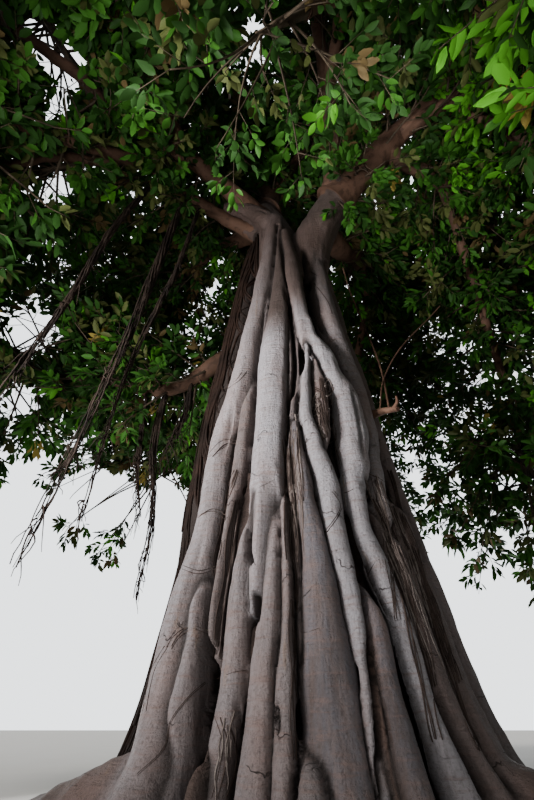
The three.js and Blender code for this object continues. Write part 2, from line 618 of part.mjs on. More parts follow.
function addMesh(group, name, solid, look) {
  const mesh = new THREE.Mesh(toGeometry(solid), new THREE.MeshStandardMaterial(look));
  mesh.name = name;
  group.add(mesh);
}

const fig = new THREE.Group();
const random = seeded(SEED);
addMesh(fig, 'trunk', trunkSolid(), BARK);
for (const bough of boughs) addMesh(fig, `bough_${bough.name}`, boughSolid(bough), BOUGH_BARK);
for (const root of AERIAL_ROOTS) {
  addMesh(fig, `aerial_root_${root.name}`, aerialRootSolid(root, random), AERIAL_BARK);
}
for (const bough of boughs) {
  addMesh(fig, `foliage_${bough.mass}`, massSolid(bough.target, bough, random), LEAVES);
}

export default fig;
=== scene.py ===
import json
import math
import bpy
import numpy as np
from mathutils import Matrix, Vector, noise
from mathutils.bvhtree import BVHTree
from mathutils.kdtree import KDTree

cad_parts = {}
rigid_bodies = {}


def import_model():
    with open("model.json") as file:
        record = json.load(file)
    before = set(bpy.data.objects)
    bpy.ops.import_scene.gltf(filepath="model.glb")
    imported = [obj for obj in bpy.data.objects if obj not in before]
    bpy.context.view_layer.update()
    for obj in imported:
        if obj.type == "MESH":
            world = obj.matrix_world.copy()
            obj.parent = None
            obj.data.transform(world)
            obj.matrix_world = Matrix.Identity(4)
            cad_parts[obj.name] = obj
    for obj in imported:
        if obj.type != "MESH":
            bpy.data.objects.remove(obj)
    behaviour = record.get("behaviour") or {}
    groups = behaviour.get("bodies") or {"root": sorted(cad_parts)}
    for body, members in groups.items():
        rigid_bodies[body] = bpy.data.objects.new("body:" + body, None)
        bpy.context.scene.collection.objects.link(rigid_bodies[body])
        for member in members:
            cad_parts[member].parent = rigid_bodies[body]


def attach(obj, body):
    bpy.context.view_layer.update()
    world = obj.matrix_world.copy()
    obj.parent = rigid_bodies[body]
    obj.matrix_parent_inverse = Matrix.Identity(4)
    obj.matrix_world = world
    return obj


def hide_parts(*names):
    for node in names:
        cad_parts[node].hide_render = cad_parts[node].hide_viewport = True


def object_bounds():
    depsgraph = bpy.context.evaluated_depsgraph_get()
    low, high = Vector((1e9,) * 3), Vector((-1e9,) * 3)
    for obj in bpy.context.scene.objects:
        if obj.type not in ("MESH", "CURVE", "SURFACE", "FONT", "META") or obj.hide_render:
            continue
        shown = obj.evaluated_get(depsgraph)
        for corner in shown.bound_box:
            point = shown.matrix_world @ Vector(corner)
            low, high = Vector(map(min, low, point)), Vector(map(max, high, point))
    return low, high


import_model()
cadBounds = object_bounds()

# Moreton Bay fig: bark, boughs, hanging roots, twigs and leaves grown over the solids.
# Metres, +Z up, the front is -Y. Angles round the trunk are degrees from the front, positive to the
# right, and pixels are places in the photograph's frame
draws = np.random.default_rng(20981)
goldenTurn = math.pi * (3 - math.sqrt(5))

photoFrame = {'width': 534, 'height': 800, 'focal': 400, 'lens': 18, 'sensor': 36,
              'place': (-0.55, -6.2, 1.1), 'tilt': 38.66, 'nearest': 0.1, 'farthest': 300}


def addCamera():
    bpy.ops.object.camera_add(location=photoFrame['place'],
                              rotation=(math.radians(90 + photoFrame['tilt']), 0, 0))
    camera = bpy.context.object
    camera.name = 'photo camera'
    camera.data.lens = photoFrame['lens']
    camera.data.sensor_width = photoFrame['sensor']
    camera.data.clip_end = photoFrame['farthest']
    bpy.context.scene.camera = camera


# The way from the camera through a pixel of the photograph
def wayThrough(pixel):
    u = (pixel[0] - photoFrame['width'] / 2) / photoFrame['focal']
    v = (photoFrame['height'] / 2 - pixel[1]) / photoFrame['focal']
    tilt = math.radians(photoFrame['tilt'])
    return Vector((u, math.cos(tilt) - math.sin(tilt) * v,
                   math.sin(tilt) + math.cos(tilt) * v)).normalized()


# Where the ray through a pixel meets a surface, and its way
def seenOn(tree, pixel):
    way = wayThrough(pixel)
    return tree.ray_cast(Vector(photoFrame['place']), way)[0], way


# The pixels at which the camera sees some places
def pixelsOf(places):
    tilt = math.radians(photoFrame['tilt'])
    off = places - np.array(photoFrame['place'])
    ahead = off[..., 1] * math.cos(tilt) + off[..., 2] * math.sin(tilt)
    above = -off[..., 1] * math.sin(tilt) + off[..., 2] * math.cos(tilt)
    ahead = np.where(ahead > photoFrame['nearest'], ahead, np.nan)
    return np.stack([photoFrame['width'] / 2 + photoFrame['focal'] * off[..., 0] / ahead,
                     photoFrame['height'] / 2 - photoFrame['focal'] * above / ahead], -1)


addCamera()

# A pale sky, a soft sun, and soft boxes for the front, the back, the foot and the boughs on each side
lights = {
    'sky': {'color': (0.93, 0.97, 1.0), 'strength': 1.0, 'seen': 2.6},
    'sun': {'turn': -50, 'height': 42, 'away': 40, 'energy': 2.3, 'angle': 14,
            'color': (1.0, 0.96, 0.9)},
    'boxes': [
        {'place': (-6.4, -5.6, 3.4), 'aim': (0.2, -0.6, 7.4), 'size': 2.6, 'power': 900, 'spread': 105},
        {'place': (5.2, 6.6, 1.8), 'aim': (0, 0, 6), 'size': 3, 'power': 260, 'spread': 160},
        {'place': (-6.4, 4.6, 1.8), 'aim': (0, 0, 6), 'size': 3, 'power': 220, 'spread': 160},
        {'place': (-2.6, -7.2, 1.2), 'aim': (-2.4, 0, 1.1), 'size': 2, 'power': 24, 'spread': 70},
        {'place': (-1.9, -6.7, 1.2), 'aim': (-5.4, -3.6, 13), 'size': 1.5, 'power': 58, 'spread': 46},
        {'place': (-0.1, -6.9, 1.2), 'aim': (3, -1.7, 14), 'size': 1.2, 'power': 30, 'spread': 30},
    ],
}


def aimAt(lamp, aim):
    way = Vector(aim) - lamp.location
    lamp.rotation_euler = way.to_track_quat('-Z', 'Y').to_euler()


def addLights():
    world = bpy.data.worlds.new('pale sky')
    bpy.context.scene.world = world
    world.use_nodes = True
    tree = world.node_tree
    sky = tree.nodes['Background']
    seen = tree.nodes.new('ShaderNodeBackground')
    for shader, strength in ((sky, 'strength'), (seen, 'seen')):
        shader.inputs['Color'].default_value = (*lights['sky']['color'], 1)
        shader.inputs['Strength'].default_value = lights['sky'][strength]
    ray = tree.nodes.new('ShaderNodeLightPath')
    mix = tree.nodes.new('ShaderNodeMixShader')
    tree.links.new(ray.outputs['Is Camera Ray'], mix.inputs[0])
    tree.links.new(sky.outputs[0], mix.inputs[1])
    tree.links.new(seen.outputs[0], mix.inputs[2])
    tree.links.new(mix.outputs[0], tree.nodes['World Output'].inputs['Surface'])
    sun = lights['sun']
    turn, height = math.radians(sun['turn']), math.radians(sun['height'])
    away = Vector((math.sin(turn) * math.cos(height), -math.cos(turn) * math.cos(height),
                   math.sin(height))) * sun['away']
    bpy.ops.object.light_add(type='SUN', location=away)
    lamp = bpy.context.object
    lamp.data.energy = sun['energy']
    lamp.data.angle = math.radians(sun['angle'])
    lamp.data.color = sun['color']
    aimAt(lamp, (0, 0, 0))
    for box in lights['boxes']:
        bpy.ops.object.light_add(type='AREA', location=box['place'])
        lamp = bpy.context.object
        lamp.data.shape = 'RECTANGLE'
        lamp.data.size = lamp.data.size_y = box['size']
        lamp.data.energy = box['power']
        lamp.data.spread = math.radians(box['spread'])
        lamp.visible_camera = False
        aimAt(lamp, box['aim'])


addLights()
print('camera and lights placed')


# One socket of a shader, so that shader maths can be written as sums
class Wire:
    def __init__(self, tree, socket=None):
        self.tree, self.socket = tree, socket

    def node(self, kind, settings=None, inputs=None, out=0):
        made = self.tree.nodes.new(kind)
        for name, setting in (settings or {}).items():
            setattr(made, name, setting)
        for name, value in (inputs or {}).items():
            if isinstance(value, Wire):
                self.tree.links.new(value.socket, made.inputs[name])
            else:
                made.inputs[name].default_value = value
        return Wire(self.tree, made.outputs[out])

    def maths(self, operation, first, second=0.0, clamp=False):
        return self.node('ShaderNodeMath', {'operation': operation, 'use_clamp': clamp},
                         {0: first, 1: second})

    def __add__(self, other):
        return self.maths('ADD', self, other)

    def __radd__(self, other):
        return self.maths('ADD', other, self)

    def __sub__(self, other):
        return self.maths('SUBTRACT', self, other)

    def __rsub__(self, other):
        return self.maths('SUBTRACT', other, self)

    def __mul__(self, other):
        return self.maths('MULTIPLY', self, other)

    def distanceTo(self, level):
        return self.node('ShaderNodeMath', {'operation': 'ABSOLUTE'}, {0: self - level})

    def fraction(self):
        return self.node('ShaderNodeMath', {'operation': 'FRACT'}, {0: self})

    def clamped(self):
        return self.maths('ADD', self, 0.0, True)

    def between(self, low, high):
        return self.node('ShaderNodeMapRange', {'interpolation_type': 'SMOOTHSTEP'},
                         {'Value': self, 'From Min': low, 'From Max': high})

    def mixed(self, first, second):
        values = {0: self}
        for slot, color in ((6, first), (7, second)):
            values[slot] = color if isinstance(color, Wire) else (*color, 1)
        return self.node('ShaderNodeMix', {'data_type': 'RGBA'}, values, 2)

    def stretched(self, scale):
        return self.node('ShaderNodeVectorMath', {'operation': 'MULTIPLY'}, {0: self, 1: scale})

    def grain(self, size, detail=3, roughness=0.55, phase=0.0):
        return self.node('ShaderNodeTexNoise', {'noise_dimensions': '4D'},
                         {'Vector': self, 'W': phase, 'Scale': size, 'Detail': detail,
                          'Roughness': roughness})


def startMaterial(name):
    material = bpy.data.materials.new(name)
    material.use_nodes = True
    return material, Wire(material.node_tree), material.node_tree.nodes['Principled BSDF']


def feed(shader, name, wire):
    wire.tree.links.new(wire.socket, shader.inputs[name])


floorLook = {'color': (0.5, 0.485, 0.46), 'darker': (0.44, 0.425, 0.4), 'size': 130}


def addFloor():
    bpy.ops.mesh.primitive_plane_add(size=floorLook['size'])
    floor = bpy.context.object
    floor.name = 'floor'
    material, start, shader = startMaterial('pale floor')
    place = start.node('ShaderNodeTexCoord', out='Object')
    feed(shader, 'Base Color', place.grain(0.8, 4).mixed(floorLook['color'], floorLook['darker']))
    shader.inputs['Roughness'].default_value = 0.9
    floor.data.materials.append(material)


addFloor()


# The rule that the solids follow, with their trunk, forks, boughs and masses. The columns of the solids
# are here with more rows, and with left fold, gap strand, rooty foot, strip, fibrous strip, pocket and
# rust strip, which are too slim for them
trunk = {'radius': 2.01, 'taper': 0.106, 'flare': 0.6, 'flareHeight': 0.5, 'coreDepth': 0.5,
         'coreTop': 12.4, 'below': -0.3, 'stand': 0.72, 'slim': 0.96, 'voxel': 0.034, 'step': 0.12,
         'fineness': 8, 'collar': (1.3, 0.75), 'collarShare': 0.2, 'dive': 0.3, 'diveLength': 0.25}

# Grown-together columns: rows of height, angle and radius, how far in they stand, which loose ends dive
# into the trunk, their tones, and the height above which a pale one gives way to painted shade, and how
# dark that shade gets. The 'dark' tone is partly the bark's own darker brown and partly painted shade
columns = {
    'left pale': {'rows': [[0, -48, 0.42], [0.7, -52, 0.35], [1.3, -58, 0.33], [2.2, -62, 0.27],
                           [3.2, -57, 0.22], [4.5, -59, 0.24], [5.4, -48, 0.29], [6.5, -45, 0.24],
                           [8.4, -38, 0.25], [10.1, -33, 0.21], [12.2, -32, 0.2]], 'stand': 0.4,
                  'pale': 0.7},
    'left fold': {'rows': [[0, -44, 0.3], [0.7, -47.5, 0.23], [1.3, -50.5, 0.21], [2, -56, 0.19],
                           [2.8, -58, 0.12]], 'stand': 0.6, 'pale': 0.62},
    'gap strand': {'rows': [[1.4, -38, 0.05], [2.2, -39, 0.08], [3, -39, 0.1], [4, -38, 0.12],
                            [5, -38, 0.12], [6, -40, 0.1], [7, -38, 0.07], [8.4, -35, 0.04]],
                   'dives': (0,), 'pale': 0.35, 'dark': 0.25},
    'centre pale': {'rows': [[1.9, -22, 0.06], [2.4, -22, 0.18], [3.2, -22, 0.26], [4.9, -21, 0.27],
                             [6.1, -21, 0.29], [7.7, -17, 0.23], [9.4, -16, 0.18], [11, -18, 0.13],
                             [12.2, -20, 0.1]], 'pale': 1, 'shadeFrom': 6.4, 'topShade': 0.8},
    'left leg': {'rows': [[0, -31, 0.2], [0.9, -30, 0.14], [1.3, -29, 0.15], [2.1, -30, 0.14],
                          [3.4, -26, 0.1]], 'pale': 0.5},
    'right leg': {'rows': [[0, -19, 0.2], [0.7, -19, 0.15], [1.3, -19, 0.13], [2, -17, 0.16],
                           [2.8, -18, 0.15], [3.6, -20, 0.1]], 'pale': 0.5},
    'rooty foot': {'rows': [[0, -33, 0.26], [0.6, -32, 0.2], [1.2, -30, 0.12]], 'dives': (-1,),
                   'pale': 0.1, 'dark': 0.5},
    'strip': {'rows': [[0, -12, 0.1], [1.2, -12, 0.1], [1.9, -11.5, 0.08], [2.7, -11.5, 0.07],
                       [3.6, -12, 0.05]], 'dives': (-1,), 'pale': 0.4},
    'panel': {'rows': [[0, 1.6, 0.27], [0.8, 1, 0.28], [1.4, 0.6, 0.3], [2, 0, 0.25], [2.5, 0, 0.17],
                       [3.4, -3, 0.12], [4.2, -5.5, 0.08], [4.9, -7, 0.05]], 'stand': 0.95,
              'dives': (-1,), 'pale': 0.2, 'cool': 0.85},
    'knee': {'rows': [[0, -6, 0.17], [0.7, -6, 0.14], [1.1, -5, 0.1]], 'stand': 0.4, 'dives': (-1,),
             'pale': 0.5},
    'slender': {'rows': [[0, 9.6, 0.05], [0.8, 9.8, 0.05], [1.5, 10.8, 0.05], [2.1, 11, 0.09],
                         [2.8, 9, 0.13], [3.4, 9, 0.16], [4, 5, 0.16], [4.6, 1, 0.11], [5.3, 3, 0.09],
                         [5.9, 6, 0.06], [6.5, 8, 0.05], [7, 8, 0.04]], 'stand': 0.8, 'pale': 1},
    'fibrous strip': {'rows': [[1.2, -9, 0.05], [2, -9, 0.08], [2.7, -8.5, 0.12], [3.6, -8.5, 0.13],
                               [4.4, -8, 0.1], [5, -5.5, 0.12], [5.8, -4.5, 0.12], [6.8, -4, 0.1],
                               [8, -5, 0.05]], 'stand': 1.5, 'dives': (0, -1), 'pale': 0.2, 'cool': 0.4,
                      'dark': 0.25},
    'pocket': {'rows': [[4, 9.5, 0.05], [4.4, 11, 0.1], [4.9, 12.5, 0.14], [5.4, 13, 0.13],
                        [6, 12, 0.06]], 'stand': 1.25, 'pale': 0.4, 'dark': 0.1},
    'rust strip': {'rows': [[0, 12.4, 0.06], [0.8, 12, 0.05], [1.5, 13, 0.04], [2, 13, 0.03]],
                   'dives': (-1,), 'pale': 0.1, 'rust': 1},
    'slip': {'rows': [[0, 16, 0.24], [0.7, 16, 0.18], [1.2, 17, 0.14], [1.8, 18.4, 0.11],
                      [2.4, 15, 0.07]], 'dives': (-1,), 'pale': 0.15, 'cool': 0.8},
    'crossing': {'rows': [[0, 33, 0.24], [0.7, 30, 0.17], [1.3, 28, 0.12], [1.9, 29, 0.14],
                          [2.3, 26, 0.16], [2.9, 21, 0.13], [3.4, 22, 0.16], [3.9, 28, 0.24],
                          [4.5, 33, 0.29], [5.1, 34, 0.26], [5.9, 23, 0.22], [6.7, 9, 0.2],
                          [7.5, 5, 0.18], [9.2, 0, 0.24], [11.2, -8, 0.16]], 'pale': 1, 'shadeFrom': 7.1,
                 'topShade': 0.6},
    'right upper': {'rows': [[2.4, 34, 0.07], [3.3, 36, 0.12], [3.9, 40, 0.14], [4.8, 49, 0.16],
                             [5.8, 54, 0.16], [6.5, 47, 0.2], [7.1, 41, 0.27], [8.3, 46, 0.25],
                             [9.4, 52, 0.2], [11.6, 54, 0.18]], 'dives': (0,), 'pale': 0.7,
                    'dark': 0.15},
    'right foot': {'rows': [[0, 40, 0.34], [1.5, 37, 0.2], [2.6, 35, 0.16], [3.4, 33, 0.1]],
                   'dives': (-1,), 'pale': 0.2, 'dark': 0.45},
    'buttress': {'rows': [[0, 48, 0.6], [0.8, 47, 0.38], [2, 49, 0.26], [3.6, 51, 0.16]], 'dives': (-1,),
                 'pale': 0.2, 'dark': 0.45},
    'right edge': {'rows': [[0, 66, 0.5], [1.5, 64, 0.34], [2.3, 65, 0.3], [3, 66, 0.15],
                            [4.4, 68, 0.15], [6, 67, 0.2], [11.8, 72, 0.22]], 'pale': 0.3, 'dark': 0.35},
    'right side': {'rows': [[0, 96, 0.46], [2, 92, 0.32], [5, 99, 0.26], [11.6, 96, 0.22]], 'pale': 0.6},
    'back right': {'rows': [[0, 128, 0.5], [1.6, 121, 0.34], [4.5, 130, 0.28], [8, 123, 0.24],
                            [11.6, 130, 0.22]], 'pale': 0.8},
    'back strand': {'rows': [[0, 141, 0.2], [2, 147, 0.14], [5, 139, 0.17], [8, 151, 0.14],
                             [11, 143, 0.12]], 'stand': 0.3, 'dives': (-1,), 'pale': 0.95},
    'back': {'rows': [[0, 160, 0.46], [2, 166, 0.32], [6, 158, 0.26], [11.8, 166, 0.22]], 'pale': 0.5,
             'cool': 0.6},
    'back left': {'rows': [[0, -166, 0.5], [2, -161, 0.34], [5.5, -170, 0.26], [11.8, -158, 0.22]],
                  'pale': 0.85},
    'left strand': {'rows': [[0, -146, 0.2], [2.5, -151, 0.15], [6, -143, 0.16], [9, -149, 0.12]],
                    'stand': 0.3, 'dives': (-1,), 'pale': 0.5},
    'far left': {'rows': [[0, -132, 0.46], [2, -128, 0.33], [6.5, -133, 0.26], [11.8, -126, 0.22]],
                 'pale': 0.7},
    'left side': {'rows': [[0, -112, 0.42], [2, -109, 0.3], [6, -113, 0.24], [11.8, -106, 0.2]],
                  'pale': 0.5},
    'rope curtain': {'rows': [[0, -96, 0.2], [2.5, -93, 0.14], [4.5, -92, 0.22], [6, -91, 0.25],
                              [9, -86, 0.22], [12, -80, 0.16]], 'stand': -0.1, 'pale': 0, 'dark': 1},
}

# The head swells where the left column runs into its bough
headSwell = {'points': [[-0.34, -0.5, 11.6], [-0.7, -0.47, 12.35], [-1.2, -0.5, 12.75],
                        [-1.8, -0.5, 12.85]],
             'radii': [0.18, 0.29, 0.26, 0.2]}

forks = {
    'left fork': {'points': [[0, 0, 9.6], [-0.3, 0.05, 11.8], [-0.6, 0.1, 13.9]],
                  'radii': [0.8, 0.66, 0.34]},
    'right fork': {'points': [[0.2, 0, 9.4], [0.75, -0.4, 11.4], [1.35, -0.85, 12.5]],
                   'radii': [0.74, 0.56, 0.46]},
}

surfaceRoots = [
    {'points': [[-1.2, -0.9, 0.5], [-1.9, -0.9, 0.42], [-3.0, -0.35, 0.14], [-4.1, 0.5, -0.12]],
     'radii': [0.5, 0.36, 0.28, 0.14]},
    {'points': [[1.4, -1.2, 0.4], [2.3, -1.9, 0.2], [3.1, -2.3, -0.14]], 'radii': [0.5, 0.34, 0.14]},
    {'points': [[1.7, 0.2, 0.4], [2.8, 0.5, 0.18], [4.0, 0.3, -0.14]], 'radii': [0.48, 0.32, 0.14]},
    {'points': [[0.3, 1.8, 0.4], [0.7, 2.9, 0.16], [0.5, 3.9, -0.12]], 'radii': [0.48, 0.3, 0.13]},
    {'points': [[-1.4, 1.3, 0.4], [-2.4, 2.1, 0.16], [-3.5, 2.5, -0.12]], 'radii': [0.46, 0.3, 0.13]},
]

# Masses stand in rings. They are squashed balls, and boughs end where they enter them
squash, tipDepth, tipShare, middleShare = 0.8, 0.85, 0.8, 0.42
rings = {
    'skirt': {'count': 8, 'start': 167.5, 'out': 9.0, 'height': 7.7, 'radius': 4.3, 'tilt': 1.2,
              'lowSide': 10},
    'shoulder': {'count': 8, 'start': 190, 'out': 8.9, 'height': 11.9, 'radius': 4.4},
    'upper': {'count': 6, 'start': 212, 'out': 8.4, 'height': 16.7, 'radius': 4.8},
    'top': {'count': 3, 'start': 80, 'out': 3.4, 'height': 19.4, 'radius': 4.6},
}
frontLow = {'angle': 263, 'out': 5.4, 'height': 6.5, 'radius': 1.9}

# A bough's parent limb, how far along it or where it starts, points passed or the lift of its middle,
# the mass it bears and its radii
boughs = {
    'left_front': ['left fork', 0.75, [[-2.3, -1.5, 13.1], [-4.8, -3.1, 13.1]], 'upper_1', [0.3, 0.15]],
    'left': ['left fork', 0.55, [[-2.2, -0.5, 12.75], [-4.3, -2.1, 12.5]], 'shoulder_1', [0.24, 0.13]],
    'front': ['right fork', 0.95, [[1.25, -2.2, 13.9], [0.72, -4.5, 16]], 'upper_2', [0.27, 0.14]],
    'right_front': ['right fork', 0.98, [[3, -1.9, 14], [4.6, -2.75, 15.3]], 'upper_3', [0.42, 0.2]],
    'right': ['right_front', 0.4, [[4.4, -1.1, 13.3]], 'shoulder_5', [0.24, 0.14]],
    'back_right': ['right fork', 0.7, [[2.2, 1.1, 13], [4.4, 2.7, 15]], 'upper_4', [0.34, 0.16]],
    'back': ['left fork', 0.6, [[-0.2, 2.2, 13.8], [-0.3, 4.3, 15.2]], 'upper_5', [0.32, 0.15]],
    'back_left': ['left fork', 0.8, [[-2.3, 1.6, 14.3], [-4.3, 2.6, 15.4]], 'upper_6', [0.3, 0.15]],
    'leader': ['left fork', 0.97, [[-0.3, 0.5, 15.8]], 'top_1', [0.34, 0.16]],
    'top_left': ['leader', 0.45, 0.3, 'top_2', [0.2, 0.13]],
    'top_right': ['leader', 0.6, 0.2, 'top_3', [0.19, 0.13]],
    'left_low': ['trunk', [-0.5, 0.5, 8.1], [[-1.65, 1.25, 8.4], [-3.15, 2.05, 8.05]], 'skirt_1',
                 [0.26, 0.12]],
    'left_skirt': ['left', 0.76, -0.1, 'skirt_2', [0.14, 0.1]],
    'front_left': ['left_front', 0.45, 0.5, 'shoulder_2', [0.18, 0.12]],
    'front_left_skirt': ['front_left', 0.5, 0.2, 'skirt_3', [0.14, 0.1]],
    'front_shoulder': ['front', 0.5, 0.9, 'shoulder_3', [0.17, 0.12]],
    'front_skirt': ['front_shoulder', 0.5, 0.4, 'skirt_4', [0.14, 0.1]],
    'front_low': ['front_skirt', 0.4, -0.1, 'front_low', [0.1, 0.07]],
    'front_right': ['right_front', 0.5, 0.6, 'shoulder_4', [0.2, 0.12]],
    'front_right_skirt': ['front_right', 0.5, 0.3, 'skirt_5', [0.14, 0.1]],
    'right_skirt': ['right', 0.6, 0.1, 'skirt_6', [0.15, 0.1]],
    'right_back': ['back_right', 0.45, 0.5, 'shoulder_6', [0.19, 0.12]],
    'right_back_skirt': ['right_back', 0.5, 0.2, 'skirt_7', [0.14, 0.1]],
    'back_shoulder': ['back', 0.5, 0.5, 'shoulder_7', [0.18, 0.12]],
    'back_skirt': ['back_shoulder', 0.5, 0.2, 'skirt_8', [0.14, 0.1]],
    'left_back': ['back_left', 0.5, 0.4, 'shoulder_8', [0.17, 0.12]],
}

aerialRoots = {
    'left_outer': {'bough': 'left', 'at': 0.65, 'foot': [-4.5, -1.8, 4.0], 'radii': [0.09, 0.05]},
    'left_middle': {'bough': 'left', 'at': 0.51, 'foot': [-3.52, -1.36, 2.5], 'radii': [0.12, 0.06]},
    'left_inner': {'bough': 'left', 'at': 0.43, 'foot': [-3.1, -0.95, 3.2], 'radii': [0.08, 0.04]},
    'low_elbow': {'bough': 'left_low', 'at': 0.47, 'foot': [-2.89, 1.75, 5.9], 'radii': [0.13, 0.08]},
    'low_thick': {'bough': 'left_low', 'at': 0.63, 'foot': [-3.02, 2.05, 2.9], 'radii': [0.12, 0.06]},
    'low_thin': {'bough': 'left_low', 'at': 0.73, 'foot': [-3.35, 2.3, 4.6], 'radii': [0.07, 0.035]},
}
aerialSway = 0.12


# The same seeded draws that sway the solids' aerial roots
def solidDraws(seed):
    word = 0xFFFFFFFF
    state = seed
    while True:
        state = (state + 0x6D2B79F5) & word
        mixed = ((state ^ (state >> 15)) * (1 | state)) & word
        mixed = ((mixed + ((mixed ^ (mixed >> 7)) * (61 | mixed))) & word) ^ mixed
        yield (mixed ^ (mixed >> 14)) / (word + 1)


# A smooth line through points, as evenly spaced places
def smoothPath(points, count=200, samples=60):
    knots = [np.array(p, float) for p in points]
    knots = [2 * knots[0] - knots[1]] + knots + [2 * knots[-1] - knots[-2]]
    fine = []
    for a, b, c, d in zip(knots, knots[1:], knots[2:], knots[3:]):
        first, second, third = [max(np.linalg.norm(q - p), 1e-6) ** 0.5
                                for p, q in ((a, b), (b, c), (c, d))]
        leaving = ((b - a) / first - (c - a) / (first + second) + (c - b) / second) * second
        arriving = ((c - b) / second - (d - b) / (second + third) + (d - c) / third) * second
        t = np.linspace(0, 1, samples, endpoint=False)[:, None]
        fine.append(b + leaving * t + (-3 * b + 3 * c - 2 * leaving - arriving) * t ** 2
                    + (2 * b - 2 * c + leaving + arriving) * t ** 3)
    return evenly(np.vstack(fine + [knots[-2][None]]), count)


def evenly(places, count):
    steps = np.linalg.norm(np.diff(places, axis=0), axis=1)
    travelled = np.concatenate([[0], np.cumsum(steps)])
    wanted = np.linspace(0, travelled[-1], count + 1)
    return np.stack([np.interp(wanted, travelled, places[:, k]) for k in range(3)], 1)


def along(path, share):
    return np.stack([np.interp(np.asarray(share) * (len(path) - 1), np.arange(len(path)), path[:, k])
                     for k in range(3)], -1)


def spread(values, shares):
    return np.interp(shares, np.linspace(0, 1, len(values)), values)


def unit(vectors):
    return vectors / np.maximum(np.linalg.norm(vectors, axis=-1, keepdims=True), 1e-9)


def trunkRadius(height):
    flare = trunk['flare'] * np.exp(-np.maximum(height, 0) / trunk['flareHeight'])
    return trunk['radius'] - trunk['taper'] * height + flare


# Angle and radius of a column at some heights, and its middles, which dive into the trunk at a loose end
def columnAt(rows, heights):
    rows = np.array(rows, float)
    held = np.clip(heights, rows[0, 0], rows[-1, 0])
    following = np.clip(np.searchsorted(rows[:, 0], held), 1, len(rows) - 1)
    low, high = rows[following - 1], rows[following]
    share = (held - low[:, 0]) / (high[:, 0] - low[:, 0])
    eased = share * share * (3 - 2 * share)
    angle = low[:, 1] + (high[:, 1] - low[:, 1]) * eased
    return angle, low[:, 2] + (high[:, 2] - low[:, 2]) * eased


def columnCentres(column, heights):
    angle, radius = columnAt(column['rows'], heights)
    out = trunkRadius(heights) - column.get('stand', trunk['stand']) * radius
    for end, above in ((0, heights - column['rows'][0][0]), (-1, column['rows'][-1][0] - heights)):
        if end in column.get('dives', ()):
            out = out - trunk['dive'] * np.exp(-(np.maximum(above, 0) / trunk['diveLength']) ** 2)
    turn = np.radians(angle)
    return np.stack([out * np.sin(turn), -out * np.cos(turn), heights], 1), radius


def placeMasses():
    placed = {}
    for name, ring in rings.items():
        for i in range(ring['count']):
            angle = ring['start'] + i * 360 / ring['count']
            dip = ring.get('tilt', 0) * math.cos(math.radians(angle - ring.get('lowSide', 0)))
            placed[f'{name}_{i + 1}'] = dict(ring, angle=angle, height=ring['height'] - dip)
    placed['front_low'] = dict(frontLow)
    for mass in placed.values():
        turn = math.radians(mass['angle'])
        mass['centre'] = np.array([mass['out'] * math.cos(turn), mass['out'] * math.sin(turn),
                                   mass['height']])
    return placed


masses = placeMasses()
massNames = list(masses)
massCentres = np.array([mass['centre'] for mass in masses.values()])
massRadii = np.array([mass['radius'] for mass in masses.values()])


def distanceIn(centre, places):
    off = np.asarray(places) - centre
    return np.sqrt(off[..., 0] ** 2 + off[..., 1] ** 2 + (off[..., 2] / squash) ** 2)


# Whether places are in a mass's own space: inside its ball, on its side of every plane between masses
def inOwnSpace(name, places, margin=0.0):
    here = massNames.index(name)
    own = distanceIn(massCentres[here], places)
    power = own ** 2 - massRadii[here] ** 2
    inside = own <= massRadii[here]
    for other in range(len(massNames)):
        if other != here:
            apart = np.linalg.norm(massCentres[other] - massCentres[here])
            theirs = distanceIn(massCentres[other], places) ** 2 - massRadii[other] ** 2
            inside &= power + 2 * apart * margin <= theirs
    return inside


def placeLimbs():
    limbs = {name: {'path': smoothPath(fork['points']), 'radii': fork['radii']}
             for name, fork in forks.items()}
    for name, (parent, at, via, mass, radii) in boughs.items():
        start = np.array(at, float) if isinstance(at, list) else along(limbs[parent]['path'], at)
        centre = masses[mass]['centre']
        if isinstance(via, list):
            passed = [np.array(p, float) for p in via]
        else:
            passed = [start + (centre - start) * middleShare + np.array([0, 0, via])]
        reach = tipDepth * masses[mass]['radius'] / distanceIn(centre, passed[-1])
        tip = centre + (passed[-1] - centre) * min(reach, tipShare)
        limbs[name] = {'name': name, 'path': smoothPath([start, *passed, tip]), 'radii': radii,
                       'mass': mass, 'parent': parent}
    return limbs


limbs = placeLimbs()


def deselect():
    bpy.ops.object.select_all(action='DESELECT')


# A triangle, the outline of the thinnest strands
def threeSides():
    bpy.ops.curve.primitive_bezier_circle_add(location=(0, 0, 0))
    outline = bpy.context.object
    outline.data.splines.clear()
    side = outline.data.splines.new('POLY')
    side.points.add(2)
    for turn, point in zip(np.radians((0, 120, 240)), side.points):
        point.co = (math.cos(turn), math.sin(turn), 0, 1)
    side.use_cyclic_u = True
    return outline


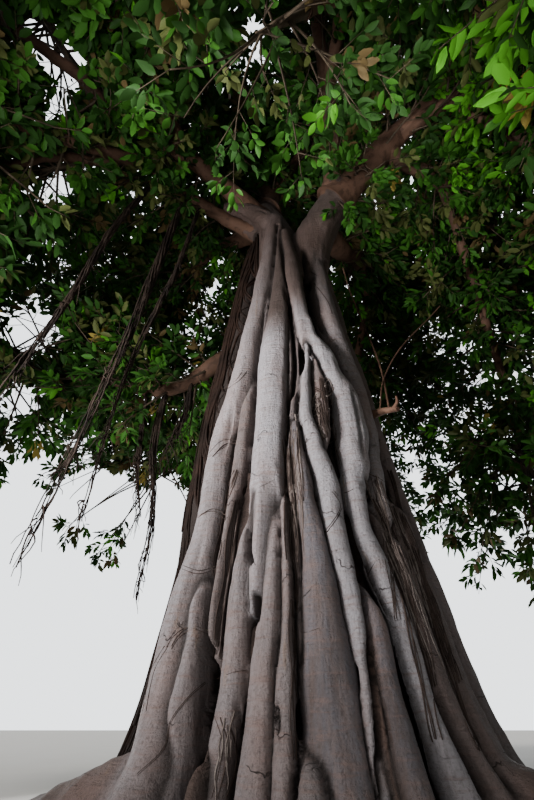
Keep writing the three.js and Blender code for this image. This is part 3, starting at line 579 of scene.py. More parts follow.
# Strands of (places, radii), drawn as one curve and made a mesh: round ones, or three-sided ones
# without a fineness
def drawStrands(name, strands, fineness=None):
    outline = threeSides() if fineness is None else None
    deselect()
    bpy.ops.curve.primitive_bezier_curve_add(location=(0, 0, 0))
    piece = bpy.context.object
    curve = piece.data
    curve.splines.clear()
    curve.dimensions = '3D'
    if outline is None:
        curve.bevel_depth = 1
        curve.bevel_resolution = fineness
    else:
        curve.bevel_mode = 'OBJECT'
        curve.bevel_object = outline
    curve.use_fill_caps = True
    for places, radii in strands:
        spline = curve.splines.new('POLY')
        spline.points.add(len(places) - 1)
        flat = np.ones((len(places), 4))
        flat[:, :3] = places
        spline.points.foreach_set('co', flat.ravel())
        spline.points.foreach_set('radius', np.broadcast_to(radii, len(places)).astype(float))
    bpy.ops.object.convert(target='MESH')
    piece = bpy.context.object
    piece.name = name
    piece.data.name = name
    if outline is not None:
        bpy.data.objects.remove(outline)
        bpy.ops.object.mode_set(mode='EDIT')
        bpy.ops.mesh.select_all(action='SELECT')
        bpy.ops.mesh.remove_doubles(threshold=1e-5)
        bpy.ops.mesh.normals_make_consistent(inside=False)
        bpy.ops.object.mode_set(mode='OBJECT')
    return piece


def placesOf(mesh):
    found = np.empty(len(mesh.vertices) * 3)
    mesh.vertices.foreach_get('co', found)
    return found.reshape(-1, 3)


def normalsOf(mesh):
    found = np.empty(len(mesh.vertices) * 3, np.float32)
    mesh.vertex_normals.foreach_get('vector', found)
    return found.reshape(-1, 3).astype(float)


def setPlaces(mesh, places):
    mesh.vertices.foreach_set('co', places.ravel())
    mesh.update()


def keepValues(mesh, name, values):
    mesh.attributes.new(name, 'FLOAT', 'POINT').data.foreach_set('value', np.asarray(values, np.float32))


def roughNoise(places, scale, seed=0.0):
    shift = np.array([seed * 7.3, seed * 3.1, seed * 5.7])
    return np.array([noise.noise(p) for p in (places * np.array(scale) + shift).tolist()])


# The sum of some waves of noise, each with its scale, seed and size
def wavesAt(places, waves):
    return sum(roughNoise(places, scale, seed) * size for scale, seed, size in waves)


# Values from 0 to 1 as others run from a start over a length, downwards if it is negative
def ramp(values, start, length):
    return np.clip((values - start) / length, 0, 1)


# How much higher or lower each vertex stands than its wider surroundings, positive in hollows
def hollowness(mesh, places, normals, rounds):
    ends = np.empty(len(mesh.edges) * 2, np.int64)
    mesh.edges.foreach_get('vertices', ends)
    a, b = ends.reshape(-1, 2).T
    count = np.bincount(a, minlength=len(places)) + np.bincount(b, minlength=len(places))
    blurred = places.copy()
    for _ in range(rounds):
        beside = [np.bincount(a, blurred[b, k], len(places)) + np.bincount(b, blurred[a, k], len(places))
                  for k in range(3)]
        blurred = np.stack(beside, 1) / np.maximum(count, 1)[:, None]
    return ((blurred - places) * normals).sum(1)


def applyModifier(piece, kind, **settings):
    deselect()
    piece.select_set(True)
    bpy.context.view_layer.objects.active = piece
    modifier = piece.modifiers.new(kind.lower(), kind)
    for name, value in settings.items():
        setattr(modifier, name, value)
    bpy.ops.object.modifier_apply(modifier=modifier.name)


def shadeSmooth(piece):
    deselect()
    piece.select_set(True)
    bpy.context.view_layer.objects.active = piece
    bpy.ops.object.shade_smooth()


bark = {
    'pale': (0.255, 0.24, 0.252), 'pink': (0.16, 0.1, 0.084), 'brown': (0.07, 0.044, 0.035),
    'cool': (0.085, 0.087, 0.102), 'ochre': (0.17, 0.1, 0.05), 'creviceShade': (0.011, 0.0065, 0.005),
    'crease': (0.04, 0.027, 0.024), 'fleck': (0.5, 0.48, 0.45), 'brownAndShade': (0.038, 0.025, 0.02),
    'flankShade': (0.075, 0.052, 0.046), 'rust': (0.1, 0.045, 0.022),
}
barkFinish = {'specular': 0.3, 'relief': 0.055, 'roughness': (0.62, 0.25)}


def trunkBark():
    material, start, shader = startMaterial('fluted bark')
    place = start.node('ShaderNodeTexCoord', out='Object')
    own, pale, cool, rust, hollowShade, brownAndShade, flankShade = [
        start.node('ShaderNodeAttribute', {'attribute_name': name}, out='Fac')
        for name in ('column', 'pale', 'cool', 'rust', 'hollowShade', 'brownAndShade', 'flankShade')]
    phase = own * 9
    cloud = place.stretched((1, 1, 0.4)).grain(1.3, 5, 0.62, phase)
    streak = place.stretched((1, 1, 0.06)).grain(9, 4, 0.6, phase)
    thread = place.stretched((1, 1, 0.035)).grain(34, 3, 0.6, phase)
    fine = place.grain(34, 5, 0.7)
    blotch = place.stretched((1, 1, 0.6)).grain(4.5, 5, 0.7, phase + 2)
    level = place.stretched((0, 0, 5)) + place.grain(1.6, 4, 0.6, phase) * 2.4 + phase
    creaseLine = 1 - level.fraction().distanceTo(0.5).between(0, 0.02)
    creaseHere = place.grain(2.1, 2, 0.5, phase + 3).between(0.53, 0.62)
    crease = creaseLine * creaseHere
    wrinkle = place.stretched((1, 1, 8)).grain(3.6, 3, 0.6, phase + 5)
    tone = (pale + (cloud - 0.5) * 1.3 + (blotch - 0.5) * 0.5).clamped()
    color = tone.mixed(bark['brown'], bark['pale'])
    color = (cloud.between(0.42, 0.68) * 0.65).mixed(color, bark['pink'])
    # Painted shade on the right-facing flanks of the columns
    color = (flankShade.between(0.4, 1) * 0.5).mixed(color, bark['flankShade'])
    color = (cool * streak.between(0.3, 0.68)).mixed(color, bark['cool'])
    color = (streak.between(0.6, 0.74) * 0.4).mixed(color, bark['ochre'])
    color = (wrinkle.between(0.48, 0.7) * 0.5).mixed(color, bark['pink'])
    color = (rust * cloud.between(0.25, 0.6)).mixed(color, bark['rust'])
    color = (blotch.between(0.6, 0.72) * 0.45).mixed(color, bark['crease'])
    color = (fine.between(0.62, 0.76) * blotch.between(0.4, 0.6) * 0.5).mixed(color, bark['fleck'])
    color = (crease * 0.85).mixed(color, bark['crease'])
    color = (thread.between(0.5, 0.68) * 0.28).mixed(color, bark['crease'])
    color = (fine.between(0.48, 0.7) * 0.45).mixed(color, bark['crease'])
    # Darker brown: on the lower right partly the bark's own colour and partly painted shade, and painted
    # shade up under the crown, on the fork and on dark columns
    color = (brownAndShade * 0.92).mixed(color, bark['brownAndShade'])
    # Painted shade in hollows, clefts, crevices and seams between columns
    color = hollowShade.mixed(color, bark['creviceShade'])
    feed(shader, 'Base Color', color)
    least, more = barkFinish['roughness']
    feed(shader, 'Roughness', least + fine * more)
    shader.inputs['Specular IOR Level'].default_value = barkFinish['specular']
    height = wrinkle * 0.55 + fine * 0.45 + streak * 0.35 + thread * 0.2 - crease * 0.6
    height = height - blotch.between(0.55, 0.75) * 0.3
    bump = start.node('ShaderNodeBump', {}, {'Height': height, 'Strength': 1,
                                             'Distance': barkFinish['relief']})
    feed(shader, 'Normal', bump)
    return material


# Clefts and hollows cut where the photograph shows them: pixels they pass, half widths in metres at both
# ends and how deep they go
clefts = [
    {'seen': [(247, 455), (243, 490), (233, 515), (227, 555), (218, 600), (215, 630), (211, 660),
              (209, 690), (205, 745), (200, 799)], 'half': (0.05, 0.035), 'depth': 0.16},
    {'seen': [(305, 245), (306, 262), (309, 280), (312, 295), (316, 311), (321, 325), (328, 338)],
     'half': (0.06, 0.04), 'depth': 0.24},
    {'seen': [(284, 285), (288, 305), (292, 325), (294, 345), (295, 365), (293, 385), (289, 405),
              (286, 430), (285, 455)], 'half': (0.04, 0.045), 'depth': 0.26},
    {'seen': [(284, 440), (286, 470), (288, 500), (291, 550), (294, 598), (294, 630), (296, 662),
              (297, 725), (296, 799)], 'half': (0.04, 0.03), 'depth': 0.14},
    {'seen': [(335, 462), (342, 487), (346, 509), (349, 531), (352, 553)], 'half': (0.025, 0.03),
     'depth': 0.12},
    {'seen': [(357, 566), (362, 598), (368, 630), (372, 662), (377, 725), (383, 799)],
     'half': (0.02, 0.035), 'depth': 0.12},
    {'seen': [(364, 556), (372, 575), (384, 600), (392, 620)], 'half': (0.05, 0.03), 'depth': 0.14},
    {'seen': [(366, 476), (368, 488), (370, 502)], 'half': (0.035, 0.05), 'depth': 0.18},
    {'seen': [(392, 620), (402, 662), (414, 700), (428, 745), (440, 799)], 'half': (0.02, 0.03),
     'depth': 0.07},
    {'seen': [(433, 690), (447, 725), (464, 757), (487, 795)], 'half': (0.05, 0.07), 'depth': 0.2},
    {'seen': [(385, 470), (400, 520), (418, 570), (436, 625), (455, 690)], 'half': (0.03, 0.04),
     'depth': 0.08},
    {'seen': [(378, 500), (392, 548), (404, 590), (415, 630)], 'half': (0.025, 0.03), 'depth': 0.08},
    {'seen': [(400, 492), (418, 545), (432, 588)], 'half': (0.03, 0.03), 'depth': 0.07},
    {'seen': [(268, 285), (262, 320), (258, 350), (255, 380), (253, 420), (250, 450)],
     'half': (0.03, 0.05), 'depth': 0.09},
    {'seen': [(216, 545), (212, 580), (208, 620)], 'half': (0.04, 0.05), 'depth': 0.08},
    {'seen': [(236, 700), (240, 735), (236, 770)], 'half': (0.03, 0.03), 'depth': 0.06},
    {'seen': [(249, 528), (250, 545), (251, 566)], 'half': (0.025, 0.04), 'depth': 0.2},
    {'seen': [(255, 590), (255, 607), (253, 628)], 'half': (0.05, 0.04), 'depth': 0.22},
    {'seen': [(276, 703), (277, 718), (278, 735)], 'half': (0.025, 0.025), 'depth': 0.12},
    {'seen': [(206, 525), (196, 560), (184, 598), (172, 632), (158, 665)], 'half': (0.03, 0.03),
     'depth': 0.03},
    {'seen': [(232, 400), (228, 430), (220, 460)], 'half': (0.04, 0.04), 'depth': 0.05},
    {'seen': [(350, 380), (355, 400), (361, 430), (364, 460)], 'half': (0.03, 0.03), 'depth': 0.05},
    {'seen': [(255, 211), (260, 210), (266, 213)], 'half': (0.03, 0.03), 'depth': 0.08},
    {'seen': [(267, 203), (270, 206), (273, 211)], 'half': (0.03, 0.03), 'depth': 0.08},
]


def buildTrunk():
    heights = np.arange(trunk['below'], trunk['coreTop'] + 0.01, trunk['step'])
    core = np.stack([heights * 0, heights * 0, heights], 1)
    thick = [(core, trunkRadius(heights) - trunk['coreDepth'])]
    for column in columns.values():
        rows = column['rows']
        first = trunk['below'] if rows[0][0] == 0 else rows[0][0]
        own = np.arange(first, rows[-1][0] + 0.01, trunk['step'])
        centres, radius = columnCentres(column, own)
        thick.append((centres, radius * trunk['slim']))
    for arm in [*forks.values(), *surfaceRoots, headSwell]:
        path = smoothPath(arm['points'], 24)
        thick.append((path, spread(arm['radii'], np.linspace(0, 1, 25))))
    for limb in limbs.values():
        if limb.get('parent') in ('trunk', *forks):
            shares = np.linspace(0, trunk['collarShare'], 12)
            collar = np.linspace(*trunk['collar'], 12)
            thick.append((along(limb['path'], shares), spread(limb['radii'], shares) * collar))
    piece = drawStrands('trunk_bark', thick, trunk['fineness'])
    applyModifier(piece, 'REMESH', mode='VOXEL', voxel_size=trunk['voxel'])
    applyModifier(piece, 'SMOOTH', factor=0.5, iterations=3)
    bpy.ops.object.mode_set(mode='EDIT')
    bpy.ops.mesh.select_all(action='SELECT')
    bpy.ops.mesh.bisect(plane_co=(0, 0, 0), plane_no=(0, 0, 1), clear_inner=True, use_fill=True)
    bpy.ops.object.mode_set(mode='OBJECT')
    return piece


# Where the rays through some pixels of the photograph meet the trunk
def seenOnTrunk(tree, pixels, step):
    length = np.linalg.norm(np.diff(np.array(pixels, float), axis=0), axis=1).sum()
    path = smoothPath([(x, y, 0) for x, y in pixels], int(length / step) + 2)
    hits = [seenOn(tree, pixel)[0] for pixel in path]
    return [hit for hit in hits if hit is not None]


# A cleft's depth dies out towards its ends, but for one that runs out of the picture below. Clefts are
# also darkened with painted shade, full at some depth
cleftLook = {'step': 1.2, 'jump': 0.5, 'taper': 5, 'outBelow': 740, 'reach': 0.3, 'fullShadeDepth': 0.12}


def cutClefts(tree, shaped):
    dark = np.zeros(len(shaped))
    inward = unit(shaped * (-1, -1, 0))
    for cleft in clefts:
        hits = seenOnTrunk(tree, cleft['seen'], cleftLook['step'])
        if len(hits) < 4:
            continue
        places = np.array(hits)
        steps = np.linalg.norm(np.diff(places, axis=0), axis=1)
        keep = np.concatenate([[True], steps < cleftLook['jump']])
        places = places[keep]
        finder = KDTree(len(places))
        for i, place in enumerate(places.tolist()):
            finder.insert(place, i)
        finder.balance()
        shares = np.linspace(0, 1, len(places))
        half = spread(cleft['half'], shares)
        runsOut = (shares > 0.5) & (cleft['seen'][-1][1] > cleftLook['outBelow'])
        toEnd = cleftLook['taper'] * np.minimum(shares, 1 - shares)
        depth = cleft['depth'] * np.clip(toEnd + runsOut, 0, 1)
        low, high = places.min(0) - cleftLook['reach'], places.max(0) + cleftLook['reach']
        near = np.flatnonzero(((shaped > low) & (shaped < high)).all(1))
        found = [finder.find(place) for place in shaped[near].tolist()]
        apart = np.array([gap for _, _, gap in found])
        here = [index for _, index, _ in found]
        cut = np.exp(-((apart / half[here]) ** 2))
        shaped[near] += inward[near] * (cut * depth[here])[:, None]
        # Painted shade in the cleft, growing with its depth
        shade = np.clip(cut * 1.6 - 0.15, 0, 1) * np.minimum(1, depth[here] / cleftLook['fullShadeDepth'])
        dark[near] = np.maximum(dark[near], shade)
    return dark


# Tones blend over a length between columns, and over a metre of height a pale one gives way to painted
# shade. Seams run between columns and carry painted shade. Waves are a scale, a seed and a size
trunkRelief = {'ground': 0.002, 'blend': 0.025, 'leastWeight': 0.05, 'shadeDims': 0.85, 'topShade': 0.4,
               'seamWidth': 0.04, 'seamDepth': 0.08, 'seamReach': 0.12, 'seamTop': 11.5,
               'longWaves': [((2.6, 2.6, 0.5), 0, 0.03), ((6.5, 6.5, 1.1), 2, 0.016)],
               'crossWaves': [((2.4, 2.4, 4.4), 5, 0.007), ((11, 11, 7), 8, 0.006)]}

# Painted shade on the bark: between columns, in creases and deep places, up under the crown and on the
# fork, and on flanks that face away from the light. The lower right is darker brown, partly the bark's
# own colour and partly painted shade. Pairs are where a ramp starts and its length
trunkShade = {'deep': (0.12, 0.2), 'deepTop': 11.8, 'deepShare': 0.5, 'rounds': 9, 'creviceShade': 0.03,
              'creviceShare': 0.85, 'seamShare': 0.9, 'darkShare': 0.85, 'high': (6.3, 5),
              'highDims': 0.8, 'highShade': 0.5, 'fork': (10.7, 1), 'rightHalf': (-0.6, 1.6),
              'brownShadeDown': (1.9, -1.9), 'brownAndShade': 0.6, 'rightFoot': (0.7, 1.2), 'footDown': (3.6, -3),
              'footBrownShade': 0.85, 'flankShadeBack': 0.6}


def shapeTrunk(piece):
    relief, shading = trunkRelief, trunkShade
    mesh = piece.data
    places = placesOf(mesh)
    height = places[:, 2].copy()
    ground = height < relief['ground']
    nearest, second = np.full(len(places), 9.0), np.full(len(places), 9.0)
    own = np.zeros(len(places))
    weights = np.full(len(places), relief['leastWeight'])
    tones = {name: np.zeros(len(places)) for name in ('pale', 'cool', 'dark', 'rust')}
    for i, column in enumerate(columns.values()):
        centres, radius = columnCentres(column, height)
        gap = np.hypot(places[:, 0] - centres[:, 0], places[:, 1] - centres[:, 1]) - radius
        ends = column['rows'][0][0], column['rows'][-1][0]
        gap += np.maximum(ends[0] - height, 0) * (ends[0] > 0) + np.maximum(height - ends[1], 0)
        closer = gap < nearest
        second = np.where(closer, nearest, np.minimum(second, gap))
        nearest = np.where(closer, gap, nearest)
        own = np.where(closer, (i + 1) / len(columns), own)
        weight = np.exp(-np.clip(gap, -0.05, 1) / relief['blend'])
        weights += weight
        # Higher up, some columns' pale tone gives way to painted shade
        inShade = ramp(height, column.get('shadeFrom', 99), 1)
        topShade = column.get('topShade', relief['topShade'])
        tones['pale'] += weight * column['pale'] * (1 - relief['shadeDims'] * inShade)
        tones['cool'] += weight * column.get('cool', 0)
        tones['rust'] += weight * column.get('rust', 0)
        tones['dark'] += weight * (column.get('dark', 0) + topShade * inShade)
    pale, cool, dark, rust = [total / weights for total in tones.values()]
    seam = np.exp(-((second - nearest) / relief['seamWidth']) ** 2)
    seam = seam * (second < relief['seamReach']) * (height < relief['seamTop'])
    outward = unit(places * (1, 1, 0))
    setPlaces(mesh, places - outward * (seam * relief['seamDepth'])[:, None])
    applyModifier(piece, 'SMOOTH', factor=0.5, iterations=1)
    mesh = piece.data
    places, normals = placesOf(mesh), normalsOf(mesh)
    ripple = wavesAt(places, relief['longWaves'])
    ripple += wavesAt(places, relief['crossWaves'])
    shaped = places + normals * ripple[:, None]
    setPlaces(mesh, shaped)
    tree = BVHTree.FromObject(piece, bpy.context.evaluated_depsgraph_get())
    # Besides cutting the clefts, this returns their painted shade
    cut = cutClefts(tree, shaped)
    shaped[:, 2] = np.where(ground, 0, np.maximum(shaped[:, 2], relief['ground']))
    setPlaces(mesh, shaped)
    normals = normalsOf(mesh)
    # Painted shade in hollows: crevices, deep places within the trunk's outline, seams between columns
    # and dark columns
    sunk = hollowness(mesh, shaped, normals, shading['rounds'])
    below = trunkRadius(height) - np.hypot(shaped[:, 0], shaped[:, 1])
    deep = ramp(below, *shading['deep']) * (height < shading['deepTop'])
    creviceShade = np.clip(sunk / shading['creviceShade'] - 0.2, 0, 1)
    hollowShade = np.max([cut, creviceShade * shading['creviceShare'] + deep * shading['deepShare'],
                     seam ** 2 * shading['seamShare'], dark ** 3 * shading['darkShare']], axis=0)
    # Painted shade up under the crown and on the right of the fork
    high = ramp(height, *shading['high'])
    forkShade = ramp(height, *shading['fork']) * np.clip(shaped[:, 0] * 4, 0, 1)
    # Darker brown towards the lower right and the right foot: partly the bark's own colour, partly
    # painted shade
    rightHalf = ramp(shaped[:, 0], *shading['rightHalf'])
    low = ramp(height, *shading['brownShadeDown']) * rightHalf * shading['brownAndShade']
    rightFoot = ramp(shaped[:, 0], *shading['rightFoot']) * ramp(height, *shading['footDown'])
    brownAndShade = np.max([rightFoot * shading['footBrownShade'], low, high * shading['highShade'], forkShade, dark], axis=0)
    # Painted shade on flanks of columns that face right, away from the key light, on the front only
    around = unit(np.stack([-shaped[:, 1], shaped[:, 0], shaped[:, 2] * 0], 1))
    flankShade = (normals * around).sum(1) * (shaped[:, 1] < shading['flankShadeBack'])
    # Pale bark dims higher up as painted shade under the crown
    pale = pale * (1 - shading['highDims'] * high)
    for name, values in {'hollowShade': np.clip(hollowShade, 0, 1), 'column': own, 'pale': pale, 'cool': cool,
                         'rust': rust, 'flankShade': flankShade, 'brownAndShade': brownAndShade}.items():
        keepValues(mesh, name, values)
    return BVHTree.FromObject(piece, bpy.context.evaluated_depsgraph_get())


# The trunk is kept in pieces by height, cut from one mesh
trunkCuts = {'foot': (-1, 1.3), 'lower': (1.3, 3.4), 'middle': (3.4, 5.6), 'upper': (5.6, 8.3),
             'high': (8.3, 99)}


def splitTrunk(piece):
    parts = []
    for name, (low, high) in trunkCuts.items():
        deselect()
        part = piece.copy()
        part.data = piece.data.copy()
        bpy.context.collection.objects.link(part)
        part.name = part.data.name = name + '_trunk_bark'
        mesh = part.data
        level = placesOf(mesh)[:, 2]
        corners = np.empty(len(mesh.loops), np.int64)
        mesh.loops.foreach_get('vertex_index', corners)
        starts = np.empty(len(mesh.polygons), np.int64)
        mesh.polygons.foreach_get('loop_start', starts)
        firstCorner = level[corners[starts]]
        away = (firstCorner < low) | (firstCorner >= high)
        part.select_set(True)
        bpy.context.view_layer.objects.active = part
        bpy.context.tool_settings.mesh_select_mode = (False, False, True)
        mesh.polygons.foreach_set('select', away)
        mesh.edges.foreach_set('select', np.zeros(len(mesh.edges), bool))
        mesh.vertices.foreach_set('select', np.zeros(len(mesh.vertices), bool))
        bpy.ops.object.mode_set(mode='EDIT')
        bpy.ops.mesh.delete(type='FACE')
        bpy.ops.object.mode_set(mode='OBJECT')
        parts.append(part)
    bpy.data.objects.remove(piece)
    return parts


def trianglesOf(piece):
    return sum(len(face.vertices) - 2 for face in piece.data.polygons)


def finishPiece(piece, material, nodes=()):
    if not piece.data.materials:
        piece.data.materials.append(material)
    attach(piece, 'root')
    if nodes:
        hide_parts(*nodes)


# A finished piece of strands
def addStrands(name, strands, fineness, material, nodes=()):
    piece = drawStrands(name, strands, fineness)
    shadeSmooth(piece)
    finishPiece(piece, material, nodes)
    print(piece.name, len(piece.data.polygons), 'faces')


trunkPiece = buildTrunk()
trunkTree = shapeTrunk(trunkPiece)
shadeSmooth(trunkPiece)
trunkMaterial = trunkBark()
for part in splitTrunk(trunkPiece):
    finishPiece(part, trunkMaterial, ['trunk'])
    print(part.name, trianglesOf(part), 'triangles')


# Barks of boughs, roots and twigs, from pale to dark with creases, and the shine that they share
limbShine = 0.12
limbBark = {
    # The bough bark is darker than the trunk's, partly its own colour and partly painted shade under the
    # crown
    'bough': {'pale': (0.11, 0.06, 0.04), 'dark': (0.04, 0.022, 0.014), 'crease': (0.018, 0.01, 0.007)},
    'root': {'pale': (0.036, 0.024, 0.018), 'dark': (0.01, 0.007, 0.006),
             'crease': (0.006, 0.004, 0.004)},
    'rope': {'pale': (0.018, 0.009, 0.006), 'dark': (0.006, 0.003, 0.002),
             'crease': (0.003, 0.002, 0.001)},
    'curl': {'pale': (0.17, 0.14, 0.125), 'dark': (0.07, 0.05, 0.042), 'crease': (0.03, 0.02, 0.016)},
    'rootlet': {'pale': (0.055, 0.037, 0.03), 'dark': (0.018, 0.012, 0.01),
                'crease': (0.01, 0.007, 0.006)},
    'twig': {'pale': (0.075, 0.055, 0.036), 'dark': (0.03, 0.021, 0.014), 'crease': (0.02, 0.014, 0.01)},
}


def limbMaterial(name, look, size, bumpDepth):
    material, start, shader = startMaterial(name)
    place = start.node('ShaderNodeTexCoord', out='Object')
    cloud = place.grain(0.7 * size, 4, 0.6)
    fine = place.grain(16 * size, 4, 0.65)
    ridge = place.grain(5 * size, 3, 0.6)
    color = cloud.between(0.32, 0.68).mixed(look['dark'], look['pale'])
    color = (ridge.between(0.5, 0.62) * 0.5).mixed(color, look['crease'])
    color = (fine.between(0.58, 0.75) * 0.4).mixed(color, look['pale'])
    feed(shader, 'Base Color', color)
    feed(shader, 'Roughness', 0.6 + fine * 0.3)
    shader.inputs['Specular IOR Level'].default_value = limbShine
    bump = start.node('ShaderNodeBump', {}, {'Height': ridge + fine * 0.5, 'Strength': 0.6,
                                             'Distance': bumpDepth})
    feed(shader, 'Normal', bump)
    return material


boughMaterial = limbMaterial('bough bark', limbBark['bough'], 1, 0.02)
rootMaterial = limbMaterial('aerial root bark', limbBark['root'], 3, 0.01)
ropeMaterial = limbMaterial('rope curtain bark', limbBark['rope'], 3, 0.008)
rootletMaterial = limbMaterial('rootlet bark', limbBark['rootlet'], 3, 0.006)
curlMaterial = limbMaterial('curled root bark', limbBark['curl'], 3, 0.006)
twigMaterial = limbMaterial('twig bark', limbBark['twig'], 3, 0.004)

# Boughs seen to run on inside their masses: pixels passed, metres from the camera, radius at the end
carriedOn = {'left_front': {'seen': [(44, 50), (-10, 8)], 'away': (14.3, 14.8), 'radius': 0.13},
             'left': {'seen': [(60, 156), (-8, 169)], 'away': (12.5, 13.2), 'radius': 0.1}}
boughLook = {'step': 0.08, 'fineness': 7, 'flare': 0.45, 'flareLength': 0.45, 'swell': 0.05,
             'swellPace': 2.3, 'waves': [((3.2, 3.2, 3.2), 0, 0.03), ((8, 8, 8), 3, 0.016)]}


def buildBoughs():
    strands, names = [], []
    for name, limb in limbs.items():
        if 'mass' not in limb:
            continue
        path, ends = limb['path'], limb['radii']
        if name in carriedOn:
            onward = carriedOn[name]
            eye = np.array(photoFrame['place'])
            path = [*path[::50], *(eye + np.array(wayThrough(pixel)) * away
                                   for pixel, away in zip(onward['seen'], onward['away']))]
            path, ends = smoothPath(path), [*ends, onward['radius']]
        length = np.linalg.norm(np.diff(path, axis=0), axis=1).sum()
        count = int(length / boughLook['step'])
        shares = np.linspace(0, 1, count + 1)
        places = along(path, shares)
        radii = spread(ends, shares)
        radii *= 1 + boughLook['flare'] * np.exp(-shares * length / boughLook['flareLength'])
        swelling = boughLook['swell'] * np.sin(shares * length * boughLook['swellPace'] + len(strands))
        radii *= 1 + swelling * np.minimum(shares * 9, 1)
        strands.append((places, radii))
        names.append(name)
    half = len(strands) // 2
    for label, chosen in (('first', slice(0, half)), ('second', slice(half, None))):
        piece = drawStrands(label + '_boughs', strands[chosen], boughLook['fineness'])
        places, normals = placesOf(piece.data), normalsOf(piece.data)
        setPlaces(piece.data, places + normals * wavesAt(places, boughLook['waves'])[:, None])
        shadeSmooth(piece)
        finishPiece(piece, boughMaterial, [f'bough_{name}' for name in names[chosen]])
        print(piece.name, len(piece.data.polygons), 'faces')


buildBoughs()

# Each hanging root is a bundle of strands that wind round its path, bulge in the middle and open at the
# foot, with short side roots that fray off
hangingLook = {'strands': 22, 'radius': 0.013, 'taper': (1.35, 0.5), 'step': 0.12,
               'lengths': (0.45, 1.0), 'winding': (0.6, 1.6), 'apart': (0.15, 0.9), 'wander': 0.006,
               'widths': (0.7, 1.5), 'swayAt': (0.35, 0.7), 'least': 0.6, 'bulge': 0.55, 'open': 0.5,
               'side': 44, 'fray': (0.2, 0.7), 'sideFrom': 0.25, 'sideWay': 0.16, 'sideBend': 0.05,
               'sideRadii': (0.012, 0.004)}


def buildAerialRoots():
    look = hangingLook
    sways = solidDraws(20981)
    for name, root in aerialRoots.items():
        top = along(limbs[root['bough']]['path'], root['at'])
        foot = np.array(root['foot'])
        turn = next(sways) * 2 * math.pi
        places = [top]
        for share in look['swayAt']:
            off = np.array([math.sin(turn + 5 * share), math.cos(turn + 4 * share), 0]) * aerialSway
            places.append(top + (foot - top) * share + off)
        path = smoothPath([*places, foot])
        length = np.linalg.norm(foot - top)
        strands = []
        shares = np.linspace(0, 1, int(length / look['step']))
        for i in range(look['strands']):
            ownLength = 1 if i < 3 else draws.uniform(*look['lengths'])
            kept = shares[shares <= ownLength]
            around = i * goldenTurn + draws.uniform(*look['winding']) * kept * length
            around = around + draws.uniform(0, 6)
            apart = spread(root['radii'], kept) * draws.uniform(*look['apart'])
            apart = apart * (look['least'] + look['bulge'] * np.sin(kept * math.pi)
                             + look['open'] * kept ** 3)
            wander = np.stack([np.cos(around), np.sin(around), 0 * around], 1) * apart[:, None]
            wander += draws.normal(0, look['wander'], wander.shape)
            taper = look['radius'] * np.linspace(*look['taper'], len(kept))
            strands.append((along(path, kept) + wander, taper * draws.uniform(*look['widths'])))
        for _ in range(look['side']):
            start = along(path, draws.uniform(look['sideFrom'], 1))
            reach = draws.uniform(*look['fray'])
            way = draws.normal(0, look['sideWay'], 3)
            way[2] = -1
            bend = draws.normal(0, look['sideBend'], 3)
            t = np.linspace(0, 1, 7)[:, None]
            strands.append((start + unit(way) * reach * t + bend * np.sin(t * 5),
                            np.linspace(*look['sideRadii'], 7)))
        addStrands(f'hanging_root_{name}', strands, 1, rootMaterial, nodes=[f'aerial_root_{name}'])


buildAerialRoots()

